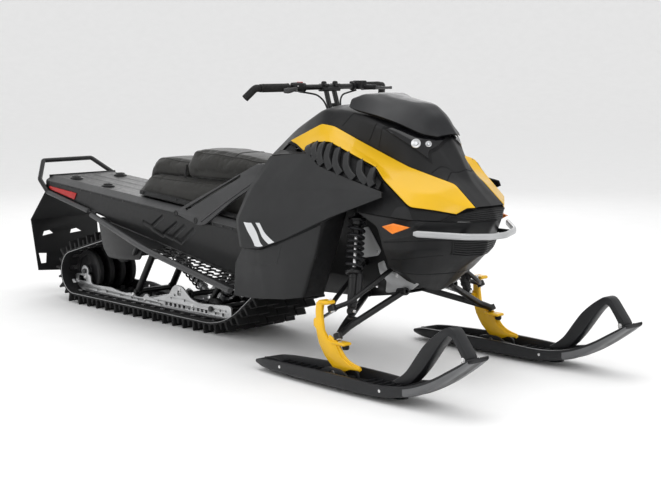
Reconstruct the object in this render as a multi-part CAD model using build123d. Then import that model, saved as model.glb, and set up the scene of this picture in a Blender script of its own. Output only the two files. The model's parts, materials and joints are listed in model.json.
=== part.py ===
from build123d import *
import math
import os

# Mountain snowmobile as an assembly of separate sub-parts, in millimetres.
#
# Sizes are laid out from the pivot bolt of the skis: x forwards, y to the rider's left, z up from
# the ground. Everything is shifted along x when it is written, so that the origin is under the
# middle of the overall length. Pieces with a right and a left one are drawn on the left (y > 0)
# and mirrored.

# ---------------------------------------------------------------- driving sizes
SKI_NOSE_X = 650.0
FLAP_REAR_X = -2444.0
STANCE_HALF = 430.0            # ski centre to the middle plane

RUN_CLEARANCE = 6.0            # between pieces that move past each other
SEAT_GAP = 0.3                 # between pieces that are seated on each other
PIN_FIT = 0.08                 # radial room of a turning pin
PANEL = 4.0                    # moulded body panels
SHEET = 3.0                    # tunnel and frame sheet

TRACK_WIDTH = 381.0
LUG = 40.0
BAND = 8.0
LUG_PITCH = 73.0
LUG_THICK = 16.0
LUG_ROWS = (                   # y from, y to, phase in half pitches
    (-190.5, -70.0, 0),
    (-70.0, 70.0, 1),
    (70.0, 190.5, 0),
)
IDLER_R = 100.0                # rear idler wheels
IDLER_X = -2080.0
CARRIER_R = 60.0               # upper idler wheels
CARRIER_X, CARRIER_Z = -1735.0, 290.0
SPROCKET_R = 88.0
SPROCKET_X, SPROCKET_Z = -757.0, 318.0
APPROACH_DEG = 38.0
APPROACH_R = 380.0
RAIL_HALF = 120.0              # rail centre plane to the middle plane
RAIL_THICK = 8.0
WHEEL_WIDTH = 24.0
RAIL_WHEEL_R = 44.0
RAIL_WHEEL_X, RAIL_WHEEL_Z = -1120.0, LUG + BAND + RAIL_WHEEL_R + 0.6
AXLE_R = 12.0

TUNNEL_ROOM = 14.5              # each side of the track
TUNNEL_HALF = TRACK_WIDTH / 2 + TUNNEL_ROOM
AXLE_HALF = TUNNEL_HALF - SHEET - SEAT_GAP
HANGER_THICK = 8.0
TUNNEL_TOP_Z, TUNNEL_SLOPE = 503.0, 0.071   # top edge height at TUNNEL_REF_X and its rise to the rear
TUNNEL_REF_X = -1246.0
TUNNEL_CHAMFER = 20.0
BOARD_Z, BOARD_SLOPE, BOARD_REF_X = 253.0, 0.157, -690.0
BOARD_THICK = 6.0
BOARD_RAIL_R = 12.0

KING_LOW = (-20.0, STANCE_HALF - 10.0, 175.0)      # lower ball joint
KING_HIGH = (-66.0, STANCE_HALF - 24.3, 268.0)     # upper ball joint
KING_PIN_R = 6.0
KNUCKLE_IN = 78.0                                  # bend of the arms, inwards of the ski's middle
SHOCK_IN = 112.0                                   # foot of the damper, the same way
PLATE_HALF, PLATE_THICK = 116.0, 4.0               # bulkhead side plates
TIE_OUT = (-140.0, STANCE_HALF - 19.0, 214.0)      # ball at the knuckle's arm
TIE_IN = (-130.7, 70.0, 330.9)
TIE_R, TIE_BALL_R = 6.0, 8.0
TIE_FACE_X = TIE_OUT[0] + TIE_BALL_R + SEAT_GAP    # rear face of the knuckle's arm
SKI_BOLT_Z = 52.0
SKI_BOLT_R = 8.0
ARM_TUBE_R, UPPER_TUBE_R = 12.5, 9.0
ELBOW_OVER = 2.0                                   # elbows of the arms over their tubes
JOINT_R, EYE_LONG = 16.0, 22.0
SHOCK_LOW_X, SHOCK_LOW_Z = -56.0, 250.0
SHOCK_HIGH = (-112.0, 232.0, 606.0)
SHOCK_EYE_R = 15.0
SHOCK_TURNS = 7
LOOP_HALF = 26.0
NOSE_BARS, BELLY_BARS, BAR_OUT = 3, 4, 3.0     # grille bars and how far they stand out
FIN_COUNT, FIN_START, FIN_PITCH, FIN_THICK = 6, -330.0, 52.0, 5.0   # louvre fins of the vent panels
HEAD_LENS = ((-20, 158, 900), (42, 122, 897), (118, 64, 868), (150, 58, 812), (72, 112, 808),
    (34, 142, 842))
TAIL_LENS = ((-2240, 541), (-2236, 549), (-2009, 531), (-2027, 500), (-2216, 531))   # x, z
AMBER_LENS = ((76, 296, 569), (120, 284, 583), (184, 262, 572), (118, 284, 545))

COWL_FEET = ((-200, 90, 1026), (0, 70, 981))   # x, y, upper end

BAR_R = 11.0
GRIP_R = 17.0
BAR_STRAIGHT = 100.0           # half of the straight middle
GRIP_LONG, GRIP_FROM_END = 122.0, 50.0
CONTROL_FROM_END = 204.0
COLUMN_FOOT = (-466.0, 0.0, 905.0)
RISER_FOOT_Z = COLUMN_FOOT[2] + 7.0
BAR_RISE, BAR_HALF = 134.0, 372.0     # bar over the riser's foot, and half its length
BAR_Z = RISER_FOOT_Z + BAR_RISE
CABLE_R = 3.5
COLUMN_R = 17.0
COLUMN_TILT_DEG = 18.0
RISER_HALF = 24.0
LEVER_LEFT = ((46, 38, -6), (34, 150, -10))       # knuckle and tip of the brake lever, from its housing
LEVER_RIGHT = ((30, 32, -6), (12, 82, -12))       # and of the thumb throttle

RAIL_HOLES = (                 # x, z, size
    (-1345, 132, 22), (-1440, 72, 18), (-1400, 72, 18), (-1360, 72, 18), (-1320, 72, 18),
    (-1200, 76, 16), (-1160, 76, 16), (-1120, 76, 16), (-1700, 66, 14), (-1900, 68, 14),
)
RAIL_TUBES = ((-1600, 70), (-1250, 86))       # x, z
ANCHOR_X, ANCHOR_LONG, ANCHOR_WIDE, ANCHOR_R = -2000.0, 260.0, 250.0, 10.0
GRAB_HALF = TUNNEL_HALF + 11.5
GRAB_BAR = (
    (-1900, GRAB_HALF, 457), (-2238, GRAB_HALF, 520), (-2306, GRAB_HALF, 577), (-2398, 138, 657),
)
HANGER = (                     # x, z
    (-1850, 446), (-1480, 384), (-1525, 268), (-1590, 262), (-1700, 254), (-1770, 256), (-1810, 300),
)
TUNNEL_FEET = (                # x, lower edge of the side wall
    (-2262, 521), (-1760, 432), (-1740, 408), (-560, 222.6),
)
BOARD_SLOTS = tuple((x, y, 46, 14) for x in range(-1240, -760, 70) for y in (262, 290,
    318) if y < 300 or x > -1200)
BOARD_RAIL = ((-1880, TUNNEL_HALF + 7), (-1300, 335), (-690, 370))   # x, y
SKI = (                        # x, half width, underside z, rim z, underside rise to the edge
    (-410, 46, 22, 40, 4), (-350, 60, 9, 54, 8), (-150, 75, 7, 60, 10), (0, 80, 7, 64, 10),
    (150, 82, 7, 62, 10), (280, 80, 9, 58, 10), (400, 76, 34, 76, 9), (500, 68, 82, 114, 7),
    (600, 60, 150, 174, 5), (SKI_NOSE_X, 52, 188, 204, 3),
)


def shift_x():
    """Moves the ski-bolt frame so that the overall length is centred on the origin."""
    return -(FLAP_REAR_X + SKI_NOSE_X) / 2


def tunnel_top(x):
    return TUNNEL_TOP_Z + (TUNNEL_REF_X - x) * TUNNEL_SLOPE


def board_top(x):
    return BOARD_Z + (BOARD_REF_X - x) * BOARD_SLOPE


# ---------------------------------------------------------------- shape helpers
def mirrored(shape):
    return mirror(shape, about=Plane.XZ)


def both(shape):
    """A piece and its mirror image as one node of two solids."""
    return Compound(children=[*shape.solids(), *mirrored(shape).solids()])


def rod(start, end, radius):
    """Round bar between two points."""
    a, b = Vector(*start), Vector(*end)
    plane = Plane(origin=a, z_dir=b - a)
    return extrude(plane * Circle(radius), (b - a).length)


def pipe(points, radius, bend):
    """Bent round bar along straight runs joined by arcs of one radius."""
    path = FilletPolyline(*[Vector(*p) for p in points], radius=bend)
    start = Plane(origin=path @ 0, z_dir=path % 0)
    return sweep(start * Circle(radius), path=path, transition=Transition.ROUND)


def side_plate(outline, y_low, y_high):
    """Flat plate with an (x, z) outline, from y_low to y_high."""
    wire = Wire.make_polygon([Vector(x, y_low, z) for x, z in outline], close=True)
    return extrude(Face(wire), y_high - y_low, dir=(0, 1, 0))


def reach(start, end, radius, target):
    """Stay from start towards end, stopped a seat's gap short of the target."""
    a, b = Vector(*start), Vector(*end)
    back = (a - b).normalized() * SEAT_GAP
    whole = rod(start, end, radius) - Pos(back.X, back.Y, back.Z) * target
    return sorted(whole.solids(), key=lambda piece: (piece.center() - a).length)[0]


def wheel_disc(x, z, radius, y, width):
    """Disc on a cross axis, centred on y."""
    return extrude(Plane(origin=(x, y - width / 2, z), z_dir=(0, 1, 0)) * Circle(radius), width)


def cross_bar(x, z, radius, half):
    return rod((x, -half, z), (x, half, z), radius)


def fused(first, *others):
    whole = first.fuse(*others)
    return whole if not isinstance(whole, list) else Compound(children=whole)


def triangle_solid(vertices, triangles):
    """Closed solid from flat triangles."""
    faces = [
        Face(Wire.make_polygon([Vector(*vertices[i]) for i in t], close=True)) for t in triangles
    ]
    return Solid(Shell(faces))


def panel(rows, thickness, inside):
    """Moulded panel: a net of points, rows by columns, thickened towards the point inside."""
    count, width = len(rows), len(rows[0])
    points = [Vector(*p) for row in rows for p in row]
    core = Vector(*inside)

    def at(i, j):
        return i * width + j

    across = rows[0][0][1] > 0 > rows[0][-1][1]
    cells = []
    for i in range(count - 1):
        for j in range(width - 1):
            a, b, c, d = at(i, j), at(i, j + 1), at(i + 1, j + 1), at(i + 1, j)
            if across and 2 * j + 1 > width - 1:
                cells += [(a, b, d), (b, c, d)]
            else:
                cells += [(a, b, c), (a, c, d)]
    normals = [Vector(0, 0, 0) for _ in points]
    for a, b, c in cells:
        n = (points[b] - points[a]).cross(points[c] - points[a])
        for k in (a, b, c):
            normals[k] = normals[k] + n
    middle = sum(points, Vector(0, 0, 0)) / len(points)
    facing = sum(normals, Vector(0, 0, 0)).dot(middle - core)
    sign = -1.0 if facing > 0 else 1.0
    backs = [p + n.normalized() * (sign * thickness) for p, n in zip(points, normals)]
    total = len(points)
    rim = (
        [at(0, j) for j in range(width)]
        + [at(i, width - 1) for i in range(1, count)]
        + [at(count - 1, j) for j in range(width - 2, -1, -1)]
        + [at(i, 0) for i in range(count - 2, 0, -1)]
    )
    skin = cells + [tuple(total + k for k in reversed(t)) for t in cells]
    for a, b in zip(rim, rim[1:] + rim[:1]):
        skin += [(a, b, total + b), (a, total + b, total + a)]
    return triangle_solid([tuple(v) for v in points + backs], skin)


def loft_through(sections):
    """Solid with straight edges through polygons of equal corner counts."""
    faces = [Face(Wire.make_polygon([Vector(*p) for p in s], close=True)) for s in sections]
    return loft(faces, ruled=True)


# ---------------------------------------------------------------- track and rear suspension
def track_line():
    """Track loop as circles (x, z, inner radius) in running order, rear idler first."""
    ground = LUG + BAND
    return {
        "idler": (IDLER_X, ground + IDLER_R, IDLER_R),
        "approach": (0.0, ground + APPROACH_R, APPROACH_R),
        "sprocket": (SPROCKET_X, SPROCKET_Z, SPROCKET_R),
        "carrier": (CARRIER_X, CARRIER_Z, CARRIER_R),
    }


def approach_start():
    """x where the flat run ends, so that the approach runs at its angle onto the sprocket."""
    a = math.radians(APPROACH_DEG)
    tangent_x = SPROCKET_X + SPROCKET_R * math.sin(a)
    tangent_z = SPROCKET_Z - SPROCKET_R * math.cos(a)
    arc_rise = APPROACH_R * (1 - math.cos(a))
    straight = (tangent_z - LUG - BAND - arc_rise) / math.sin(a)
    return tangent_x - straight * math.cos(a) - APPROACH_R * math.sin(a)


def outer_tangent(first, second):
    """Points where a belt over the top, from first to second circle, leaves and meets them."""
    (x1, z1, r1), (x2, z2, r2) = first, second
    span = math.hypot(x2 - x1, z2 - z1)
    heading = math.atan2(z2 - z1, x2 - x1)
    lean = math.asin((r1 - r2) / span)
    normal = heading - math.pi / 2 + lean
    return (
        (x1 + r1 * math.cos(normal), z1 + r1 * math.sin(normal)),
        (x2 + r2 * math.cos(normal), z2 + r2 * math.sin(normal)),
        normal,
    )


def loop_points(offset):
    """The belt's line at a distance outside the wheels: a list of (x, z, normal angle, corner)."""
    a = math.radians(APPROACH_DEG)
    start = approach_start()
    circle = track_line()
    grown = {k: (x, z, r + offset) for k, (x, z, r) in circle.items()}
    idler, sprocket, carrier = grown["idler"], grown["sprocket"], grown["carrier"]
    top_out, top_in, top_normal = outer_tangent(sprocket, carrier)
    down_out, down_in, down_normal = outer_tangent(carrier, idler)
    return {
        "floor_rear": (IDLER_X, LUG + BAND - offset),
        "floor_front": (start, LUG + BAND - offset),
        "rise_low": (
            start + (APPROACH_R + offset) * math.sin(a),
            LUG + BAND + APPROACH_R - (APPROACH_R + offset) * math.cos(a),
        ),
        "rise_high": (
            sprocket[0] + sprocket[2] * math.sin(a),
            sprocket[1] - sprocket[2] * math.cos(a),
        ),
        "top_front": top_out,
        "top_rear": top_in,
        "fall_high": down_out,
        "fall_low": down_in,
        "normals": (top_normal, down_normal),
        "grown": grown,
        "start": start,
    }


def loop_face(offset):
    """Face inside the belt's line at a distance outside the wheels."""
    p = loop_points(offset)
    a = math.radians(APPROACH_DEG)

    def at(name):
        x, z = p[name]
        return Vector(x, 0, z)

    def bulge(circle, angle):
        x, z, r = p["grown"][circle]
        return Vector(x + r * math.cos(angle), 0, z + r * math.sin(angle))

    half = a / 2
    sweep_r = APPROACH_R + offset
    rise_mid = Vector(
        p["start"] + sweep_r * math.sin(half), 0, LUG + BAND + APPROACH_R - sweep_r * math.cos(half)
    )
    top_normal, down_normal = p["normals"]
    edges = [
        Line(at("floor_rear"), at("floor_front")),
        ThreePointArc(at("floor_front"), rise_mid, at("rise_low")),
        Line(at("rise_low"), at("rise_high")),
        ThreePointArc(at("rise_high"), bulge("sprocket", math.radians(20)), at("top_front")),
        Line(at("top_front"), at("top_rear")),
        ThreePointArc(at("top_rear"), bulge("carrier", (top_normal + down_normal) / 2), at("fall_high")),
        Line(at("fall_high"), at("fall_low")),
        ThreePointArc(at("fall_low"), bulge("idler", math.pi), at("floor_rear")),
    ]
    return Face(Wire(edges))


def loop_stations(offset, step):
    """Evenly spaced points on the belt's line with their outward directions."""
    line = loop_face(offset).outer_wire()
    count = round(line.length / step)
    inside = loop_face(offset - 1.0)
    stations = []
    for k in range(count):
        place, run = line @ (k / count), line % (k / count)
        out = Vector(-run.Z, 0, run.X)
        if inside.is_inside(place + out * 3.0):
            out = out * -1
        stations.append((place, run, out))
    return stations


def make_track():
    belt_outer, belt_inner = loop_face(BAND), loop_face(0.0)
    parts = [extrude(belt_outer, TRACK_WIDTH / 2, dir=(0, 1, 0), both=True)]
    stations = loop_stations(BAND, LUG_PITCH / 2)
    low = -BAND / 4
    for y0, y1, phase in LUG_ROWS:
        for k, (place, run, out) in enumerate(stations):
            if k % 2 != phase:
                continue
            foot = place + out * low
            tip = place + out * LUG
            corners = [
                foot + run * (LUG_THICK / 2),
                tip + run * (LUG_THICK / 3),
                tip - run * (LUG_THICK / 3),
                foot - run * (LUG_THICK / 2),
            ]
            wire = Wire.make_polygon([Vector(c.X, y0, c.Z) for c in corners], close=True)
            parts.append(extrude(Face(wire), y1 - y0, dir=(0, 1, 0)))
    whole = parts[0].fuse(*parts[1:])
    hole = extrude(belt_inner, TRACK_WIDTH, dir=(0, 1, 0), both=True)
    return whole - hole


def make_slide_rails():
    """Two rail plates with their low glide strips, joined by cross tubes."""
    g = LUG + BAND + SEAT_GAP
    outline = [
        (-2080, g + 1), (approach_start() + 4, g), (-1030, g + 5), (-985, g + 15), (-985, 122),
            (-1110, 112),
        (-1235, 104), (-1340, 166), (-1372, 166), (-1420, 118), (-1560, 84), (-1666, 78),
        (-1800, 86), (-1867, 96), (-2010, 90), (-2036, 138), (-2160, 132), (-2160, 94), (-2130, 66),
    ]
    plate = side_plate(outline, RAIL_HALF - RAIL_THICK / 2, RAIL_HALF + RAIL_THICK / 2)
    for x, z, size in RAIL_HOLES:
        plate = plate - Pos(x, RAIL_HALF, z) * Box(size, 3 * RAIL_THICK, size * 0.8)
    plate = plate + wheel_disc(IDLER_X, LUG + BAND + IDLER_R, 28, RAIL_HALF, RAIL_THICK)
    for x, z in ((IDLER_X, LUG + BAND + IDLER_R), (RAIL_WHEEL_X, RAIL_WHEEL_Z)):
        plate = plate - wheel_disc(x, z, AXLE_R + SEAT_GAP, RAIL_HALF, 3 * RAIL_THICK)
    bars = [cross_bar(x, z, AXLE_R, RAIL_HALF) for x, z in RAIL_TUBES]
    return fused(plate, mirrored(plate), *bars)


def make_wheels(x, z, radius, places, axle_half):
    """Wheels and their cross axle."""
    discs = [wheel_disc(x, z, radius, y, WHEEL_WIDTH) for y in places]
    return fused(cross_bar(x, z, AXLE_R, axle_half), *discs)


def make_tunnel():
    half, drop = TUNNEL_HALF, TUNNEL_CHAMFER

    def section(x, foot):
        top = tunnel_top(x)
        outer = [
            (-half, foot), (-half, top), (-half + 35, top + drop), (half - 35, top + drop),
            (half, top), (half, foot),
        ]
        inner = [
            (half - SHEET, foot), (half - SHEET, top - 1), (half - 36, top + drop - SHEET),
            (36 - half, top + drop - SHEET), (SHEET - half, top - 1), (SHEET - half, foot),
        ]
        return [(x, y, z) for y, z in outer + inner]

    stations = [(x, z) for x, z in TUNNEL_FEET]
    runs = [
        loft_through([section(*a), section(*b)]) for a, b in zip(stations, stations[1:])
    ]
    hanger = side_plate(HANGER, half - SHEET - HANGER_THICK, half - SHEET + 1)
    whole = fused(*runs, hanger, mirrored(hanger))
    for x in (ANCHOR_X - ANCHOR_LONG / 2, ANCHOR_X + ANCHOR_LONG / 2):
        for y in (-ANCHOR_WIDE / 2, ANCHOR_WIDE / 2):
            whole = whole - Pos(x, y, tunnel_top(x) + TUNNEL_CHAMFER) * Cylinder(ANCHOR_R, 60)
    return whole


def make_board():
    """Left foot board: sloping tray with its outer tube."""
    half = TUNNEL_HALF + SEAT_GAP
    plan = [(-1873, half), (-1300, 322), (-700, 358), (-700, half)]
    low = [(x, y, board_top(x) - BOARD_THICK) for x, y in plan]
    high = [(x, y, board_top(x)) for x, y in plan]
    tray = loft_through([low, high])
    for x, y, long, wide in BOARD_SLOTS:
        tray = tray - Pos(x, y, board_top(x)) * Box(long, wide, 80)
    rail = pipe([(x, y, board_top(x)) for x, y in BOARD_RAIL], BOARD_RAIL_R, 120)
    return fused(tray, rail)


def make_grab_bar():
    """Rear bar: a hoop over the tail joined to both tunnel sides."""
    points = [(x, -y, z) for x, y, z in GRAB_BAR] + list(GRAB_BAR[::-1])
    return pipe(points, 11, 22)


def make_flap():
    rows = [
        [(-2267.6, -188, 600), (-2267.6, -60, 600), (-2267.6, 60, 600), (-2267.6, 188, 600)],
        [(-2267.6, -188, 560), (-2267.6, -60, 560), (-2267.6, 60, 560), (-2267.6, 188, 560)],
        [(FLAP_REAR_X, -190, 370), (FLAP_REAR_X, -60, 370), (FLAP_REAR_X, 60, 370),
            (FLAP_REAR_X, 190, 370)],
        [(-2400, -180, 120), (-2400, -60, 112), (-2400, 60, 112), (-2400, 180, 120)],
    ]
    return panel(rows, 5, (-2000, 0, 300))


def make_frame_arm():
    """Left diagonal side member from the tunnel up to the steering hoop."""
    y = TUNNEL_HALF + SEAT_GAP
    outline = [
        (-1255, 505), (-1080, 462), (-1035, 470), (-847, 588), (-640, 690), (-640, 748), (-700, 742),
    ]
    return side_plate(outline, y, y + 14)


def make_seat_cushion():
    """Main cushion over the low tier."""
    rows = (                   # x, foot half width, foot z, waist half, waist z, top half, top z
        (-1294, 106, 640.5, 114, 714, 84, 726), (-1252, 116, 640.5, 124, 718, 96, 767),
        (-1110, 122, 642.5, 126, 716, 104, 769), (-935, 116, 644.5, 120, 708, 96, 757),
        (-800, 98, 655, 102, 692, 76, 738),
    )
    return loft_through([
        [(x, -a, b), (x, -c, d), (x, -e, f), (x, e, f), (x, c, d), (x, a, b)]
        for x, a, b, c, d, e, f in rows
    ])


def make_seat_tier():
    """Wide low part of the seat, on the tunnel."""
    # x, foot half width, foot z over the tunnel, rim half, rim z, top half, top z
    rows = (
        (-1622, 128, 0, 132, 560, 110, 574), (-1541, 166, 0, 168, 566, 122, 639.7),
        (-1289, 168, 0, 170, 545, 128, 639.7), (-830, 150, 0, 150, 560, 112, 645.5),
    )
    sections = []
    for x, a, b, c, d, e, f in rows:
        foot = tunnel_top(x) + TUNNEL_CHAMFER + SEAT_GAP + b
        d = max(d, foot + 8)
        f = max(f, d + 8)
        sections.append([(x, -a, foot), (x, -c, d), (x, -e, f), (x, e, f), (x, c, d), (x, a, foot)])
    return loft_through(sections)


def make_seat_bolster():
    rows = (                   # x, foot z, foot half, top half, top z
        (-1620, 594, 64, 44, 626), (-1580, 622, 84, 58, 688), (-1541, 640.5, 98, 68, 712),
        (-1475, 640.5, 100, 76, 719), (-1294.5, 640.5, 100, 80, 712),
    )
    sections = []
    for x, low, a, c, z in rows:
        sections.append([(x, -a, low), (x, -a - 4, (low + z) / 2), (x, -c, z), (x, c, z),
            (x, a + 4, (low + z) / 2), (x, a, low)])
    return loft_through(sections)


def column_axis():
    a = math.radians(COLUMN_TILT_DEG)
    return Vector(-math.sin(a), 0, math.cos(a))


def along_column(z):
    """Point on the steering axis at a height."""
    axis = column_axis()
    return Vector(*COLUMN_FOOT) + axis * ((z - COLUMN_FOOT[2]) / axis.Z)


def make_console():
    rows = [
        [(-690, 170, 735), (-690, 140, 785), (-690, 70, 800), (-690, 0, 802)],
        [(-515, 200, 843), (-560, 130, 885), (-555, 70, 905), (-550, 0, 908)],
        [(-375, 165, 912), (-420, 120, 965), (-410, 60, 978), (-405, 0, 980)],
        [(-308, 162, 905), (-300, 140, 965), (-280, 70, 985), (-280, 0, 988)],
        [(-161, 158, 852), (-150, 152, 945), (-110, 80, 960), (-105, 0, 965)],
        [(-35, 148, 806), (-35, 152, 903), (20, 80, 915), (30, 0, 925)],
        [(60, 140, 772), (60, 120, 860), (110, 62, 868), (125, 0, 885)],
        [(150, 107, 742), (130, 75, 805), (160, 50, 800), (172, 0, 820)],
        [(226, 75, 716), (226, 50, 722), (226, 25, 724), (230, 0, 726)],
        [(323, 75, 640), (326, 50, 641), (329, 25, 641), (332, 0, 641)],
    ]
    whole = panel(with_mirror(rows), PANEL, (-300, 0, 700))
    axis = column_axis()
    well = extrude(
        Plane(origin=along_column(840), z_dir=axis) * Circle(RISER_HALF + 12 + RUN_CLEARANCE), 200
    )
    return whole - well


def with_mirror(rows):
    """Rows from the left edge to the middle, continued to the right edge."""
    return [list(r) + [(x, -y, z) for x, y, z in reversed(r[:-1])] for r in rows]


def make_cowl():
    rows = [
        [(-245, 150, 980), (-250, 130, 1012), (-245, 60, 1015), (-245, 0, 1016)],
        [(-206, 156, 970), (-206, 110, 1030), (-200, 50, 1032), (-200, 0, 1034)],
        [(-102, 156, 955), (-100, 95, 988), (-100, 50, 1012), (-100, 0, 1014)],
        [(-6, 134, 928), (2, 92, 958), (16, 45, 993), (48, 0, 995)],
        [(80, 100, 890), (72, 74, 920), (84, 40, 950), (104, 0, 954)],
        [(122, 62, 880), (130, 45, 884), (146, 20, 888), (158, 0, 889)],
    ]
    shell = panel(with_mirror(rows), PANEL, (-100, 0, 850))
    base = make_console()
    feet = [reach((x, y, high), (x, y, 800), 8, base) for x, y, high in COWL_FEET]
    return fused(shell, *feet, *[mirrored(f) for f in feet])


def make_strip():
    """Left coloured strip along the top of the body."""
    rows = [
        [(-515, 203, 843), (-470, 212, 832), (-409, 232, 811)],
        [(-375, 168.5, 912), (-385, 198, 865), (-376, 215, 845)],
        [(-308, 165.5, 905), (-300, 198, 872), (-275, 222, 852)],
        [(-161, 161.5, 852), (-182, 205, 842), (-165, 240, 824)],
        [(-35, 151.5, 806), (-45, 215, 790), (17, 265, 777)],
        [(60, 143.5, 772), (60, 232, 737), (59, 268, 732)],
        [(150, 110.5, 742), (140, 222, 694), (173, 258, 645)],
        [(226, 78.5, 716), (208, 165, 686), (231, 190, 632)],
        [(323, 78.5, 640), (302, 99, 638), (280, 130, 617)],
    ]
    return panel(rows, PANEL, (-200, 0, 600))


def make_vent():
    """Left louvred panel between the strip and the side panel."""
    rows = [
        [(-560, 214, 806), (-405, 226, 804), (-372, 211, 838), (-278, 217, 844), (-168, 235, 816),
            (6, 256, 768), (44, 258, 732)],
        [(-560, 262, 788), (-450, 262, 798), (-343, 260, 800), (-275, 275, 765), (-160, 288, 738),
            (0, 300, 712), (60, 300, 700)],
    ]
    whole = panel(rows, PANEL, (-200, 0, 600))
    for k in range(FIN_COUNT):
        top = on_row(rows[0], FIN_START + FIN_PITCH * k)
        low = on_row(rows[1], FIN_START + 22 + 0.88 * FIN_PITCH * k)
        sunk = Vector(0, -2, -1)
        high, foot = top * 0.8 + low * 0.2 + sunk, top * 0.16 + low * 0.84 + sunk
        stand = Vector(10, 18, 4)
        corners = [high, high + stand, foot + stand * 0.7, foot]
        whole = whole.fuse(extrude(Face(Wire.make_polygon(corners, close=True)), FIN_THICK, dir=(1, 0, 0)))
    return whole


def on_row(row, x):
    """Point of a panel's row at a given x."""
    for a, b in zip(row, row[1:]):
        if a[0] <= x <= b[0]:
            share = (x - a[0]) / (b[0] - a[0])
            return Vector(*a) * (1 - share) + Vector(*b) * share
    return Vector(*row[-1])


def make_upper_side():
    """Left knee panel: upper plate."""
    rows = [
        [(-558, 270, 784), (-450, 268, 796), (-343, 268, 806), (-270, 285, 764), (-90, 302, 728),
            (94, 320, 696)],
        [(-596, 350, 662), (-500, 352, 665), (-400, 350, 670), (-300, 344, 680), (-90, 334, 690),
            (96, 323, 688)],
        [(-632, 386, 540), (-540, 400, 545), (-440, 392, 560), (-330, 378, 585), (-110, 350, 640),
            (98, 324, 682)],
        [(-590, 400, 440), (-530, 412, 442), (-458, 420, 448), (-340, 402, 490), (-120, 362, 592),
            (100, 325, 676)],
    ]
    return panel(rows, PANEL, (-300, 0, 600))


def make_lower_side():
    """Left lower side panel, turned in at the front."""
    rows = [
        [(-598, 380, 434), (-530, 396, 436), (-462, 404, 440), (-350, 396, 478), (-160, 372, 560),
            (-148, 255, 596)],
        [(-644, 380, 369), (-540, 392, 370), (-470, 398, 372), (-340, 390, 380), (-200, 372, 430),
            (-195, 260, 450)],
        [(-655, 378, 240), (-560, 374, 240), (-470, 370, 248), (-380, 362, 256), (-285, 348, 274),
            (-269, 258, 275)],
    ]
    return panel(rows, PANEL, (-380, 0, 400))


def make_nose():
    """Upper nose band with its grille bars."""
    rows = [
        [(-40, 268, 706), (55, 268, 722), (166, 252, 637), (272, 132, 612), (326, 75, 631), (336, 0, 634)],
        [(-60, 286, 612), (60, 280, 604), (171, 251, 596), (241, 159, 590), (312, 80, 589), (350, 0, 590)],
    ]
    whole = panel(with_mirror(rows), PANEL, (0, 0, 560))
    for bar in grille_bars(rows[0][3:], rows[1][3:], NOSE_BARS, (0, 0, 610)):
        whole = whole.fuse(bar)
    return whole


def make_belly():
    """Belly pan with its grille bars."""
    rows = [
        [(-60, 286, 609.3), (60, 280, 601.3), (171, 251, 593.3), (241, 159, 587.3),
            (312, 80, 586.3), (350, 0, 587.3)],
        [(28, 272, 560), (100, 258, 556), (172, 230, 549), (232, 158, 541), (289, 83, 539), (318, 0, 540)],
        [(36, 250, 480), (100, 244, 478), (160, 220, 482), (226, 152, 483), (271, 62, 468), (300, 0, 468)],
        [(42, 222, 410), (90, 200, 396), (120, 160, 392), (150, 120, 392), (172, 60, 392), (180, 0, 392)],
        [(58, 150, 356), (68, 114, 338), (74, 84, 324), (80, 54, 316), (84, 27, 309), (86, 0, 306)],
    ]
    whole = panel(with_mirror(rows), PANEL, (100, 0, 480))
    for bar in grille_bars(rows[1][3:], rows[2][3:], BELLY_BARS, (0, 0, 510)):
        whole = whole.fuse(bar)
    return whole


def grille_bars(top, low, count, inside):
    """Level bars across the front, standing out of the panel between two rows of its net."""
    core = Vector(*inside)
    bars = []
    for k in range(count):
        rows = []
        for edge in (-0.2, 0.2):
            share = (k + 1.0 + edge) / (count + 1)
            line = [Vector(*a) * (1 - share) + Vector(*b) * share for a, b in zip(top, low)]
            out = [Vector(p.X - core.X, p.Y, 0).normalized() * BAR_OUT for p in line]
            rows.append([tuple(p + o) for p, o in zip(line, out)])
        bars.append(panel(with_mirror(rows), BAR_OUT + PANEL / 2, inside))
    return bars


def tie_passage():
    """Room for the left steering rod through the bulkhead plate."""
    return rod(TIE_OUT, TIE_IN, TIE_R + RUN_CLEARANCE)


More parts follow.
